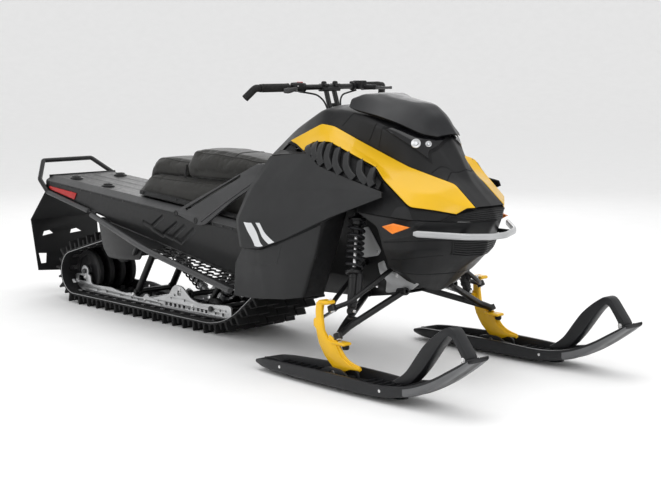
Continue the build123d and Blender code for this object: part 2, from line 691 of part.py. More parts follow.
def make_front_frame():
    """Bulkhead: two pressed side plates, a floor, cross tubes and the hoop under the console."""
    plate = side_plate(
        [(-559.7, 246), (-190, 262), (36, 300), (46, 330), (20, 372), (10, 470), (-20, 548),
            (-60, 620), (-190, 640),
         (-559.7, 560)],
        PLATE_HALF - PLATE_THICK, PLATE_HALF,
    )
    plate = plate - tie_passage()
    floor = extrude(Face(Wire.make_polygon(
        [Vector(-180, -112, 264), Vector(34, -112, 302), Vector(34, 112, 302), Vector(-180, 112,
            264)], close=True)), 5)
    tubes = [cross_bar(x, z, 10, 114) for x, z in ((-545, 540), (0, 440), (30, 322))]
    hoop = pipe([(-650, 196, 706), (-620, 140, 768), (-540, 70, 812), (-540, -70, 812),
        (-620, -140, 768), (-650, -196, 706)], 12, 30)
    struts = [rod((-540, y, 812), (-540, 1.5 * y, 545), 10) for y in (-70, 70)]
    tubes.append(cross_bar(SHOCK_HIGH[0], SHOCK_HIGH[2], 10, SHOCK_HIGH[1] - SHOCK_EYE_R - SEAT_GAP))
    axis = column_axis()
    collar = extrude(Plane(origin=along_column(802), z_dir=axis) * Circle(COLUMN_R + 10), 30)
    bore = extrude(Plane(origin=along_column(780), z_dir=axis) * Circle(COLUMN_R + PIN_FIT), 80)
    links = [rod((-540, y, 812), (-445, y, 816), 7) for y in (-20, 20)]
    stays = [
        reach((-400, 113, 330), (-400, 420, 330), 8, make_lower_side()),
        reach((-420, 113, 540), (-420, 440, 600), 8, make_upper_side()),
        reach((-10, 113, 470), (110, 270, 490), 8, make_belly()),
        reach((-540, 60, 806), (-540, 60, 930), 8, make_console()),
    ]
    whole = fused(plate, mirrored(plate), floor, hoop, collar, *tubes, *struts, *links, *stays)
    return fused(whole, *[mirrored(s) for s in stays]) - bore


def joint_eye(centre, radius, width):
    axis = Vector(*KING_HIGH) - Vector(*KING_LOW)
    axis = axis.normalized()
    start = Vector(*centre) - axis * (width / 2)
    return extrude(Plane(origin=start, z_dir=axis) * Circle(radius), width)


def make_arm(ball, legs, tube):
    """Left wishbone: each leg runs from the ball joint eye over its knuckle to the bulkhead."""
    whole = joint_eye(ball, JOINT_R, EYE_LONG)
    for knuckle, foot in legs:
        bend = Pos(*knuckle) * Sphere(tube + ELBOW_OVER)
        for piece in (rod(ball, knuckle, tube), bend, rod(knuckle, foot, tube)):
            whole = whole.fuse(piece)
    inner = Pos(0, PLATE_HALF + SEAT_GAP - 200, 400) * Box(2000, 400, 2000)
    return whole - inner - joint_eye(ball, KING_PIN_R + PIN_FIT, 3 * EYE_LONG)


def make_lower_arm():
    y = STANCE_HALF - KNUCKLE_IN
    legs = [((-30, y, 202), (30, 100, 322)), ((-60, y, 200), (-180, 100, 290))]
    arm = make_arm(KING_LOW, legs, ARM_TUBE_R)
    low = SHOCK_LOW_Z - SHOCK_EYE_R
    bridge = Pos(-46, STANCE_HALF - SHOCK_IN, low - 19) * Box(60, 22, 22)
    bracket = Pos(SHOCK_LOW_X, STANCE_HALF - SHOCK_IN, low - 5 - SEAT_GAP) * Box(26, 22, 10)
    return arm.fuse(bridge).fuse(bracket)


def make_upper_arm():
    y = STANCE_HALF - KNUCKLE_IN
    legs = [((-32, y, 288), (12, 100, 432)), ((-112, y, 286), (-190, 100, 408))]
    return make_arm(KING_HIGH, legs, UPPER_TUBE_R)


def make_shock():
    """Left damper with its coil, from the lower wishbone to the upper bulkhead."""
    low, high = Vector(SHOCK_LOW_X, STANCE_HALF - SHOCK_IN, SHOCK_LOW_Z), Vector(*SHOCK_HIGH)
    run = (high - low).normalized()
    length = (high - low).length
    coil_low, coil_high = 172.0, length - 44
    pitch = (coil_high - coil_low) / SHOCK_TURNS
    profile = [(0, 8), (11, 8), (11, 30), (19, 30), (19, coil_low - 10), (34, coil_low - 10),
        (34, coil_low)]
    for k in range(SHOCK_TURNS):
        z = coil_low + pitch * k
        profile += [(24, z), (24, z + pitch * 0.25), (34, z + pitch * 0.4), (34, z + pitch * 0.7),
            (24, z + pitch * 0.85)]
    profile += [(24, coil_high), (34, coil_high), (34, coil_high + 12), (8, coil_high + 12),
        (8, length), (0, length)]
    points = []
    for p in profile:
        if not points or p != points[-1]:
            points.append(p)
    face = Face(Wire.make_polygon([Vector(r, 0, z) for r, z in points], close=True))
    body = Plane(origin=low, z_dir=run).location * revolve(face, Axis.Z)
    eyes = [
        extrude(Plane(origin=p + Vector(-14, 0, 0), z_dir=(1, 0, 0)) * Circle(SHOCK_EYE_R),
            28) for p in (low, high)
    ]
    return fused(body, *eyes)


def make_spindle():
    """Left steering knuckle: web, foot, top hook and shelf with the two king pins, steering arm."""
    c = STANCE_HALF
    outline = [
        (-58, 299), (-104, 299), (-118, 286), (-118, 234), (TIE_FACE_X, 226), (TIE_FACE_X, 202),
            (-116, 190),
        (-104, 143), (-70, 96), (-30, 66), (-14, 40), (12, 36), (24, 60), (60, 70), (104, 70), (104, 80),
        (52, 88), (10, 112), (-8, 146), (34, 150), (34, 160), (-58, 160), (-84, 190), (-90, 236),
            (-88, 285),
        (-58, 285),
    ]
    web = side_plate(outline, c - 11, c + 11)
    hook = Pos(-80, c - 11, 292) * Box(52, 44, 14)
    shelf = Pos(-6, c - 9, 153) * Box(72, 44, 12)
    arm = Pos(TIE_FACE_X + 14, c - 11, 214) * Box(28, 28, 24)
    low, high = Vector(*KING_LOW), Vector(*KING_HIGH)
    axis = (high - low).normalized()
    pins = [
        rod(low - axis * 22, low + axis * 9, KING_PIN_R),
        rod(high - axis * 9, high + axis * 26, KING_PIN_R),
    ]
    whole = fused(web, hook, shelf, arm, *pins)
    whole = whole - joint_eye(KING_LOW, JOINT_R + RUN_CLEARANCE, EYE_LONG + 4) + pins[0]
    whole = whole - joint_eye(KING_HIGH, JOINT_R + 2 * RUN_CLEARANCE, EYE_LONG + 8) + pins[1]
    bolt = wheel_disc(0, SKI_BOLT_Z, SKI_BOLT_R + PIN_FIT, STANCE_HALF, 60)
    return whole - bolt


def make_ski():
    """Left ski with keel, side ribs, bolt and wear rod."""
    c = STANCE_HALF
    sections = []
    for x, half, low, high, edge in SKI:
        sections.append([
            (x, c - half, low + edge), (x, c - half * 0.6, low), (x, c + half * 0.6, low),
                (x, c + half, low + edge),
            (x, c + half, high), (x, c - half, high),
        ])
    whole = loft_through(sections)
    channel = []
    for x, half, low, high, edge in SKI[1:-2]:
        wall = 16
        channel.append([
            (x, c - half + wall, low + edge + 6), (x, c + half - wall, low + edge + 6),
            (x, c + half - wall, high + 40), (x, c - half + wall, high + 40),
        ])
    whole = whole - loft_through(channel)
    ribs = [Pos(0, c + s * 28, 44) * Box(150, 10, 52) for s in (-1, 1)]
    keel = side_plate([(-330, 12), (-300, 0), (290, 0), (330, 14), (330, 24), (-330, 24)], c - 9, c + 9)
    bolt = wheel_disc(0, SKI_BOLT_Z, SKI_BOLT_R, c, 76)
    return fused(whole, *ribs, keel, bolt)


def make_ski_loop():
    """Left handle over the ski's nose."""
    outer = [(268, 60), (350, 114), (436, 224), (528, 291), (560, 287), (628, 202), (612, 174)]
    inner = [(594, 180), (600, 196), (552, 256), (534, 262), (474, 190), (394, 92), (356, 62)]
    return side_plate(outer + inner, STANCE_HALF - LOOP_HALF, STANCE_HALF + LOOP_HALF) - make_ski()


def make_riser():
    """Steering column with its two posts and the clamp."""
    axis = column_axis()
    shaft = extrude(Plane(origin=along_column(800), z_dir=axis) * Circle(COLUMN_R), 120 / axis.Z)
    top, foot = along_column(BAR_Z - 22), along_column(RISER_FOOT_Z)
    block = Plane(origin=foot, z_dir=axis) * Box(34, 2 * RISER_HALF, 16)
    posts = [rod(foot + Vector(0, y, 0), top + Vector(0, y, 0), 9) for y in (-RISER_HALF + 6,
        RISER_HALF - 6)]
    clamp = Plane(origin=along_column(BAR_Z - 8), z_dir=axis) * Box(42, 96, 34)
    return fused(shaft, block, clamp, *posts) - bar_tube(BAR_R + SEAT_GAP)


def bar_at(y):
    """Centre of the handlebar on its sloping left run."""
    x = along_column(BAR_Z).X
    run = (y - BAR_STRAIGHT) / (BAR_HALF - 30 - BAR_STRAIGHT)
    return Vector(x - 48 * run, y, BAR_Z - run)


def bar_tube(radius):
    """The handlebar's line as a tube, for the bar and for the room in what it carries."""
    x = along_column(BAR_Z).X
    left = [(x, BAR_STRAIGHT, BAR_Z), tuple(bar_at(BAR_HALF - 30)), (x - 78, BAR_HALF - 4, BAR_Z - 40)]
    return pipe([(a, -b, c) for a, b, c in reversed(left)] + left, radius, 22)


def make_handlebar():
    return bar_tube(BAR_R)


def make_grip():
    y = BAR_HALF - GRIP_FROM_END
    return rod(bar_at(y - GRIP_LONG), bar_at(y), GRIP_R) - bar_tube(BAR_R + SEAT_GAP)


def cable(housing):
    """Left cable from its housing along the bar and down beside the riser into the console's well."""
    x = along_column(BAR_Z).X
    route = [
        housing - Vector(6, 14, 18), Vector(x + 2, BAR_STRAIGHT, BAR_Z - 24), Vector(x + 4, 62, BAR_Z - 32),
        along_column(BAR_Z - 70) + Vector(0, RISER_HALF + 9, 0),
        along_column(RISER_FOOT_Z - 18) + Vector(0, RISER_HALF + 8, 0),
    ]
    return pipe([tuple(p) for p in route], CABLE_R, 12)


def make_control(blade):
    """Left control housing with its finger lever; blade is the lever's line from the housing."""
    middle = bar_at(BAR_HALF - CONTROL_FROM_END) + Vector(10, 0, 2)
    knuckle, tip = (middle + Vector(*p) for p in blade)
    house = Pos(*middle) * Box(50, 46, 42)
    lever = rod(middle + Vector(20, 8, -4), knuckle, 6)
    return fused(house, lever, rod(knuckle, tip, 6), cable(middle)) - bar_tube(BAR_R + SEAT_GAP)


def make_bumper():
    stub = reach((330, 120, 541), (240, 110, 541), 8, make_belly())
    return pipe([
        (190, -256, 550), (326, -138, 541), (366, -40, 536), (366, 40, 536), (326, 138, 541),
            (190, 256, 550),
    ], 12, 40) + stub + mirrored(stub)


def make_tie_rod():
    """Left steering rod, its ball behind the knuckle's arm."""
    return rod(TIE_OUT, TIE_IN, TIE_R).fuse(Pos(*TIE_OUT) * Sphere(TIE_BALL_R))


def make_lens(outline, out, proud, target):
    """Lens over an outline, its flat face standing proud, its back a seat's gap from the target."""
    points = [Vector(*p) for p in outline]
    middle = sum(points, Vector(0, 0, 0)) / len(points)
    way = Vector(*out).normalized()
    flat = [p - way * (p - middle).dot(way) + way * proud for p in points]
    block = extrude(Face(Wire.make_polygon(flat, close=True)), 60, dir=tuple(way * -1))
    whole = block - Pos(way.X * SEAT_GAP, way.Y * SEAT_GAP, way.Z * SEAT_GAP) * target
    return sorted(whole.solids(), key=lambda piece: -piece.center().dot(way))[0]


def make_headlamps():
    return both(make_lens(HEAD_LENS, (0.578, 0.805, 0.128), 9, make_console()))


def make_markers():
    """Amber reflectors on the sides of the belly pan."""
    return both(make_lens(AMBER_LENS, (0.3, 0.95, -0.1), 8, make_belly()))


def make_tail_light():
    """Left red strip at the rear end of the tunnel side."""
    y = TUNNEL_HALF + SEAT_GAP
    return side_plate(TAIL_LENS, y, y + 5)


def make_engine():
    return Pos(-300, 0, 500) * Box(260, 223.4, 300)


def make_rear_arms():
    """Two swing arms and the damper between the tunnel and the rails."""
    arms = [rod((-1560, y, 293), (-1690, y, 96), 16) for y in (-96, 96)]
    tops = cross_bar(-1560, 293, 14, AXLE_HALF - HANGER_THICK)
    feet = cross_bar(-1690, 96, 12, RAIL_HALF - RAIL_THICK / 2 - SEAT_GAP)
    damper = rod((-1560, 0, 293), (-1300, 0, 130), 22)
    foot = cross_bar(-1300, 130, 12, RAIL_HALF - RAIL_THICK / 2 - SEAT_GAP)
    return fused(tops, feet, damper, foot, *arms)


def make_front_arms():
    arms = [rod((-1010, y, 330), (-1200, y, 96), 13) for y in (-70, 70)]
    tops = cross_bar(-1010, 330, 12, AXLE_HALF)
    feet = cross_bar(-1200, 96, 12, RAIL_HALF - RAIL_THICK / 2 - SEAT_GAP)
    return fused(tops, feet, *arms)


PARTS = {
    "track": make_track,
    "slide_rails": make_slide_rails,
    "rear_wheels": lambda: make_wheels(IDLER_X, LUG + BAND + IDLER_R, IDLER_R - SEAT_GAP, (-92,
        -32, 32, 92), 134),
    "carrier_wheels": lambda: make_wheels(
        CARRIER_X, CARRIER_Z, CARRIER_R - SEAT_GAP, (-140, 140), AXLE_HALF - HANGER_THICK - 0.5
    ),
    "drive_axle": lambda: make_wheels(SPROCKET_X, SPROCKET_Z, SPROCKET_R - SEAT_GAP, (-70, 70), AXLE_HALF),
    "rail_wheels": lambda: make_wheels(RAIL_WHEEL_X, RAIL_WHEEL_Z, RAIL_WHEEL_R, (-96, 96), 134),
    "rear_suspension": make_rear_arms,
    "front_suspension": make_front_arms,
    "tunnel": make_tunnel,
    "running_board": make_board,
    "grab_bar": make_grab_bar,
    "snow_flap": make_flap,
    "frame_arm": make_frame_arm,
    "seat_tier": make_seat_tier,
    "seat_cushion": make_seat_cushion,
    "seat_bolster": make_seat_bolster,
    "console": make_console,
    "cowl": make_cowl,
    "strip": make_strip,
    "vent": make_vent,
    "upper_side": make_upper_side,
    "lower_side": make_lower_side,
    "nose_panel": make_nose,
    "belly_pan": make_belly,
    "front_bumper": make_bumper,
    "front_frame": make_front_frame,
    "engine": make_engine,
    "lower_arm": make_lower_arm,
    "upper_arm": make_upper_arm,
    "shock": make_shock,
    "spindle": make_spindle,
    "ski": make_ski,
    "ski_loop": make_ski_loop,
    "riser": make_riser,
    "handlebar": make_handlebar,
    "grip": make_grip,
    "control_l": lambda: make_control(LEVER_LEFT),
    "control_r": lambda: mirrored(make_control(LEVER_RIGHT)),
    "tie_rod": make_tie_rod,
    "headlamps": make_headlamps,
    "side_markers": make_markers,
    "tail_lights": lambda: both(make_tail_light()),
}
PAIRS = {
    "running_board", "frame_arm", "strip", "vent", "upper_side", "lower_side", "lower_arm", "upper_arm",
    "shock", "spindle", "ski", "ski_loop", "grip", "tie_rod",
}


def write(name, shape):
    export_step(Pos(shift_x(), 0, 0) * shape, f"parts/{name}.step")
    print(name, "volume", round(shape.volume), "valid", shape.is_valid)


os.makedirs("parts", exist_ok=True)
for name, maker in PARTS.items():
    shape = maker()
    if name in PAIRS:
        write(name + "_l", shape)
        write(name + "_r", mirrored(shape))
    else:
        write(name, shape)
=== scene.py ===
import json
import math

import bmesh
import bpy
import numpy as np
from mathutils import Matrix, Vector
from mathutils.bvhtree import BVHTree

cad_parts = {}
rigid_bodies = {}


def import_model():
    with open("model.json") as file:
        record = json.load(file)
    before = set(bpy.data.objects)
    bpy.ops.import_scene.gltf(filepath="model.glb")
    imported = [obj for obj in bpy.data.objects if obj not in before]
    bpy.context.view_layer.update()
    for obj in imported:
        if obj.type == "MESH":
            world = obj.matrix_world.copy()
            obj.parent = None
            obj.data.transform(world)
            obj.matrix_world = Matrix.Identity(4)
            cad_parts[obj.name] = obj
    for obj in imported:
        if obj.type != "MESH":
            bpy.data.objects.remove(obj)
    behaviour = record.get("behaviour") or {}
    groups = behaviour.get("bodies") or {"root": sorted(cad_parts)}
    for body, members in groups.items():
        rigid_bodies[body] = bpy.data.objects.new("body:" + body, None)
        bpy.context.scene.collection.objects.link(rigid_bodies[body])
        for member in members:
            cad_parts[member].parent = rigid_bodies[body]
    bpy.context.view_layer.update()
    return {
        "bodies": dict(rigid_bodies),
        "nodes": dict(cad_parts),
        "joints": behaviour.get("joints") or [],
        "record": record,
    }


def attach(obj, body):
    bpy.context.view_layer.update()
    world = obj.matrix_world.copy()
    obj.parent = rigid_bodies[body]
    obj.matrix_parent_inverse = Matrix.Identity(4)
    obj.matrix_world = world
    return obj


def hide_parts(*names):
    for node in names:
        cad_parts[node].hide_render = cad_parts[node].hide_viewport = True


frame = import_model()
print("frame loaded:", len(frame["nodes"]), "nodes")

# Sizes below are millimetres from the ski bolts: x forwards, y to the rider's left, z up.
skiTilt = next(joint for joint in frame["joints"] if joint["name"] == "left_ski_tilt")
boltX = skiTilt["pos_m"][0]
mm = 0.001


def at(points):
    # millimetres from the ski bolts to metres in the shared frame
    return np.asarray(points, float) * mm + np.array([boltX, 0.0, 0.0])


# ---- camera, floor and light

cameraSetup = {
    "place": (3635.0, -3886.5, 1191.2),
    "yaw": 2.38486,           # heading of the view, radians from +X
    "pitch": -0.136945,
    "roll": -0.0007,
    "focal": 1434.5,          # in widths of one pixel of a 661 pixel frame
    "frameWidth": 661,
    "middle": (334.88, 247.18),   # pixel on the optical axis
}


def addCamera(setup):
    data = bpy.data.cameras.new("camera")
    camera = bpy.data.objects.new("camera", data)
    bpy.context.scene.collection.objects.link(camera)
    data.sensor_width = 36.0
    data.lens = setup["focal"] * data.sensor_width / setup["frameWidth"]
    data.shift_x = -(setup["middle"][0] - 330.5) / setup["frameWidth"]
    data.shift_y = (setup["middle"][1] - 247.5) / setup["frameWidth"]
    data.clip_end = 200.0
    camera.location = at(setup["place"])
    forward = Vector((
        math.cos(setup["pitch"]) * math.cos(setup["yaw"]),
        math.cos(setup["pitch"]) * math.sin(setup["yaw"]),
        math.sin(setup["pitch"]),
    ))
    camera.rotation_euler = forward.to_track_quat("-Z", "Y").to_euler()
    bpy.context.scene.camera = camera


addCamera(cameraSetup)

bpy.context.scene.view_settings.view_transform = "Standard"

studio = {
    "floorRadius": 15.0,
    "floorBend": 9.0,
    "floorDrop": 0.0008,
    "floorColour": (0.93, 0.93, 0.93, 1.0),
    "worldColour": (1.0, 1.0, 1.0, 1.0),
    "worldStrength": 0.86,
    # name, place, aim, size, watts
    "lamps": (
        ("overhead", (0.2, 0.0, 4.2), (0.0, 0.0, 0.4), (4.5, 3.0), 66.0),
        ("front", (4.6, -1.2, 3.0), (0.4, 0.0, 0.6), (2.4, 1.6), 38.0),
        ("side", (-1.5, -4.6, 2.6), (-0.2, 0.0, 0.5), (3.6, 1.6), 28.0),
        ("back", (-3.6, 3.6, 2.8), (0.0, 0.0, 0.6), (3.0, 2.0), 40.0),
    ),
}


def addStudio(setup):
    world = bpy.data.worlds.new("studio")
    bpy.context.scene.world = world
    world.use_nodes = True
    background = world.node_tree.nodes["Background"]
    background.inputs["Color"].default_value = setup["worldColour"]
    background.inputs["Strength"].default_value = setup["worldStrength"]
    for name, place, aim, size, watts in setup["lamps"]:
        data = bpy.data.lights.new(name, "AREA")
        data.shape = "RECTANGLE"
        data.size, data.size_y = size
        data.energy = watts
        lamp = bpy.data.objects.new(name, data)
        bpy.context.scene.collection.objects.link(lamp)
        lamp.location = place
        lamp.rotation_euler = (Vector(aim) - Vector(place)).to_track_quat("-Z", "Y").to_euler()


addStudio(studio)

# ---- mesh helpers


def gridQuads(rows, cols, loopRows=False, loopCols=False):
    # faces of a grid of points, closed round either way if asked
    i = np.arange(rows if loopRows else rows - 1)
    j = np.arange(cols if loopCols else cols - 1)
    a, b = np.meshgrid(i, j, indexing="ij")
    c, d = (a + 1) % rows, (b + 1) % cols
    return np.stack([a * cols + b, c * cols + b, c * cols + d, a * cols + d], -1).reshape(-1, 4)


def joined(parts):
    # one point array and one face list from several (points, quads) pairs
    points, faces, start = [], [], 0
    for partPoints, partFaces in parts:
        points.append(partPoints)
        faces.append(partFaces + start)
        start += len(partPoints)
    return np.concatenate(points), np.concatenate(faces)


def unit(v):
    return v / np.maximum(np.linalg.norm(v, axis=-1, keepdims=True), 1e-9)


def addPiece(name, shape, finish, body, slot, replaces=(), closed=True, sharp=38.0, flat=False):
    # puts points and faces into a mesh, gives it its finish and lets it ride on its body;
    # a face whose last corner repeats its first is a triangle
    points, faces = shape
    triangle = faces[:, 3] == faces[:, 0]
    keep = np.ones(faces.shape, bool)
    keep[triangle, 3] = False
    corners = np.where(triangle, 3, 4)
    mesh = bpy.data.meshes.new(name)
    mesh.vertices.add(len(points))
    mesh.vertices.foreach_set("co", points.astype(np.float32).ravel())
    mesh.loops.add(int(corners.sum()))
    mesh.loops.foreach_set("vertex_index", faces[keep].astype(np.int32))
    mesh.polygons.add(len(faces))
    mesh.polygons.foreach_set("loop_start", np.concatenate([[0], np.cumsum(corners)[:-1]]).astype(np.int32))
    mesh.update(calc_edges=True)
    mesh.validate()
    if closed:
        tidyShell(mesh)
    dress(mesh, sharp, flat)
    piece = bpy.data.objects.new(name, mesh)
    bpy.context.scene.collection.objects.link(piece)
    mesh.materials.append(finish)
    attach(piece, body)
    for node in replaces:
        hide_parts(node)
    return piece


def tidyShell(mesh):
    # merges doubles, drops faces with no area and turns the faces outwards
    work = bmesh.new()
    work.from_mesh(mesh)
    bmesh.ops.remove_doubles(work, verts=work.verts, dist=2e-5)
    bmesh.ops.dissolve_degenerate(work, edges=work.edges, dist=1e-6)
    bmesh.ops.recalc_face_normals(work, faces=work.faces)
    work.to_mesh(mesh)
    work.free()


def dress(mesh, sharp, flat):
    mesh.polygons.foreach_set("use_smooth", np.full(len(mesh.polygons), not flat))
    if not flat:
        mesh.set_sharp_from_angle(angle=math.radians(sharp))
    mesh.update()


def thicken(piece, thickness, edge=1.2):
    # a wall behind the face and a small round on its rim
    wall = piece.modifiers.new("wall", "SOLIDIFY")
    wall.thickness = thickness * mm
    wall.offset = -1.0
    wall.use_even_offset = False
    rim = piece.modifiers.new("rim", "BEVEL")
    rim.width = edge * mm
    rim.segments = 2
    rim.limit_method = "ANGLE"
    rim.angle_limit = math.radians(50.0)
    rim.harden_normals = True


# ---- surfaces


def hats(count, u, rounding):
    # share of each knot at u: a straight hat whose three corners are parabolas, with a straight run past the ends
    w = rounding

    def soft(x):
        return np.where(np.abs(x) < w, x * x / (2 * w) + w / 2, np.abs(x))

    def hat(x):
        return (soft(x - 1) + soft(x + 1) - 2 * soft(x)) / 2

    shares = hat(u[:, None] - np.arange(count)[None, :])
    before, after = hat(u + 1.0), hat(u - count)
    shares[:, 0] += 2 * before
    shares[:, 1] -= before
    shares[:, -1] += 2 * after
    shares[:, -2] -= after
    return shares


def stations(count, rounding, perCell=4):
    # places along the knots, close together at the rounded folds
    w = rounding
    inner = np.linspace(w, 1.0 - w, perCell)
    cell = np.concatenate([[0.0, w / 2], inner, [1.0 - w / 2]])
    return np.concatenate([cell + k for k in range(count - 1)] + [[count - 1.0]])


def onNet(net, u, v, rounding=0.16):
    # point of a folded sheet: the net's points weighted by the hats of both directions
    net = np.asarray(net, float)
    return np.einsum("si,sj,ijk->sk", hats(net.shape[0], u, rounding), hats(net.shape[1], v, rounding), net)


def sheetShape(net, rounding=0.16, perCell=4):
    net = np.asarray(net, float)
    u, v = stations(net.shape[0], rounding, perCell), stations(net.shape[1], rounding, perCell)
    points = np.einsum("si,tj,ijk->stk", hats(net.shape[0], u, rounding), hats(net.shape[1], v, rounding), net)
    return points.reshape(-1, 3), gridQuads(len(u), len(v))


def facing(shape, core):
    # turns the quads so that they look away from a point inside the body
    points, quads = shape
    a, b, c = points[quads[:, 0]], points[quads[:, 1]], points[quads[:, 2]]
    normal = np.cross(b - a, c - a)
    outward = np.sum(normal * (a - np.asarray(core, float)))
    return (points, quads) if outward > 0 else (points, quads[:, ::-1].copy())


def sided(shape, side):
    # the left shape, or its mirror image for the right
    points, quads = shape
    if side > 0:
        return points, quads
    return points * np.array([1.0, -1.0, 1.0]), quads[:, ::-1].copy()


def withMirror(rows):
    # rows from the left edge to the middle, continued to the right edge
    net = np.asarray(rows, float)
    return np.concatenate([net, net[:, -2::-1] * np.array([1.0, -1.0, 1.0])], 1)


def metres(shape):
    return at(shape[0]), shape[1]


def patchShape(net, corners, lift, fine=(14, 14), rounding=0.16, core=(0, 0, 0)):
    # four-cornered patch of a folded sheet, in net coordinates, lifted along the sheet's normal
    s, t = np.meshgrid(np.linspace(0, 1, fine[0]), np.linspace(0, 1, fine[1]), indexing="ij")
    s, t = s.ravel(), t.ravel()
    a, b, c, d = (np.asarray(p, float) for p in corners)
    uv = (
        np.outer((1 - s) * (1 - t), a) + np.outer(s * (1 - t), b)
        + np.outer(s * t, c) + np.outer((1 - s) * t, d)
    )
    e = 0.02
    here = onNet(net, uv[:, 0], uv[:, 1], rounding)
    along = onNet(net, uv[:, 0] + e, uv[:, 1], rounding) - onNet(net, uv[:, 0] - e, uv[:, 1], rounding)
    across = onNet(net, uv[:, 0], uv[:, 1] + e, rounding) - onNet(net, uv[:, 0], uv[:, 1] - e, rounding)
    normal = unit(np.cross(along, across))
    normal *= np.sign(np.sum(normal * (here - np.asarray(core, float)), axis=1, keepdims=True))
    return facing((here + normal * lift, gridQuads(*fine)), core)


def framesAlong(path, up, closed=False):
    # directions along a path and across it: across is level with the up vector
    if closed:
        run = np.roll(path, -1, 0) - np.roll(path, 1, 0)
    else:
        run = np.gradient(path, axis=0)
    run = unit(run)
    side = unit(np.cross(np.broadcast_to(np.asarray(up, float), run.shape), run))
    return run, side, np.cross(run, side)


def sweepShape(path, profile, up, closed=False, scale=None):
    # a closed profile carried along a path, its two coordinates along the side and the up direction
    path = np.asarray(path, float)
    run, side, top = framesAlong(path, up, closed)
    size = np.ones(len(path)) if scale is None else np.asarray(scale, float)
    ring = (
        path[:, None] + side[:, None] * (profile[None, :, :1] * size[:, None, None])
        + top[:, None] * (profile[None, :, 1:] * size[:, None, None])
    )
    shape = ring.reshape(-1, 3), gridQuads(len(path), len(profile), closed, True)
    return shape if closed else capped(shape, len(path), len(profile))


def capped(shape, rows, cols):
    # closes both ends of a grid of rings with a fan to the middle, as quads folded to triangles
    points, quads = shape
    first, last = points[:cols], points[(rows - 1) * cols:rows * cols]
    points = np.concatenate([points, [first.mean(0)], [last.mean(0)]])
    i = np.arange(cols)
    j = (i + 1) % cols
    a, b = rows * cols, rows * cols + 1
    low = np.stack([np.full(cols, a), j, i, np.full(cols, a)], 1)
    high = np.stack([np.full(cols, b), i + (rows - 1) * cols, j + (rows - 1) * cols, np.full(cols, b)], 1)
    return points, np.concatenate([quads, low, high])


def circle(radius, count=16):
    a = np.linspace(0, 2 * math.pi, count, endpoint=False)
    return np.stack([np.cos(a), np.sin(a)], 1) * radius


def roundBox(width, height, corner, steps=3):
    # rectangle with quarter-circle corners
    a = np.linspace(0, math.pi / 2, steps + 1)
    turns = []
    for k, (sx, sy) in enumerate(((1, 1), (-1, 1), (-1, -1), (1, -1))):
        angle = a + k * math.pi / 2
        middle = np.array([sx * (width / 2 - corner), sy * (height / 2 - corner)])
        turns.append(middle + corner * np.stack([np.cos(angle), np.sin(angle)], 1))
    return np.concatenate(turns)


def smoothPath(points, count, rounding=0.5):
    # straight runs joined by parabolas, evenly spaced by length
    points = np.asarray(points, float)
    u = np.linspace(0, len(points) - 1, count * 8)
    fine = hats(len(points), u, rounding) @ points
    length = np.concatenate([[0], np.cumsum(np.linalg.norm(np.diff(fine, axis=0), axis=1))])
    even = np.linspace(0, length[-1], count)
    return np.stack([np.interp(even, length, fine[:, k]) for k in range(3)], 1)


def latheShape(profile, centre, axis, count=32):
    # a (distance along, radius) profile turned about an axis
    profile = np.asarray(profile, float)
    axis = unit(np.asarray(axis, float))
    other = np.array([0, 0, 1.0]) if abs(axis[2]) < 0.9 else np.array([1.0, 0, 0])
    first = unit(np.cross(axis, other))
    second = np.cross(axis, first)
    a = np.linspace(0, 2 * math.pi, count, endpoint=False)
    rim = np.cos(a)[:, None] * first + np.sin(a)[:, None] * second
    points = (
        np.asarray(centre, float) + profile[:, None, :1] * axis
        + profile[:, None, 1:] * rim[None]
    )
    return points.reshape(-1, 3), gridQuads(len(profile), count, False, True)


def studShape(places, direction, radius, height, count=12):
    # domed bolt heads on washers, all looking the same way
    profile = [
        (0, radius * 1.5), (height * 0.2, radius * 1.5), (height * 0.22, radius), (height * 0.8, radius * 0.96),
        (height, radius * 0.7), (height * 1.05, 0.01),
    ]
    return joined([latheShape(profile, place, direction, count) for place in places])


def boxShape(low, high, edge=1.0):
    # a block with its twelve edges cut by a small flat
    low, high = np.asarray(low, float), np.asarray(high, float)
    outline = roundBox(high[0] - low[0], high[1] - low[1], max(edge, 0.01), 1)
    middle = (low + high) / 2
    heights = np.array([low[2], low[2] + edge, high[2] - edge, high[2]])
    shrink = np.array([edge, 0, 0, edge])
    rings = []
    for z, inset in zip(heights, shrink):
        scale = 1 - 2 * inset / np.array([high[0] - low[0], high[1] - low[1]])
        rings.append(np.column_stack([outline * scale + middle[:2], np.full(len(outline), z)]))
    return capped((np.concatenate(rings), gridQuads(4, len(outline), False, True)), 4, len(outline))


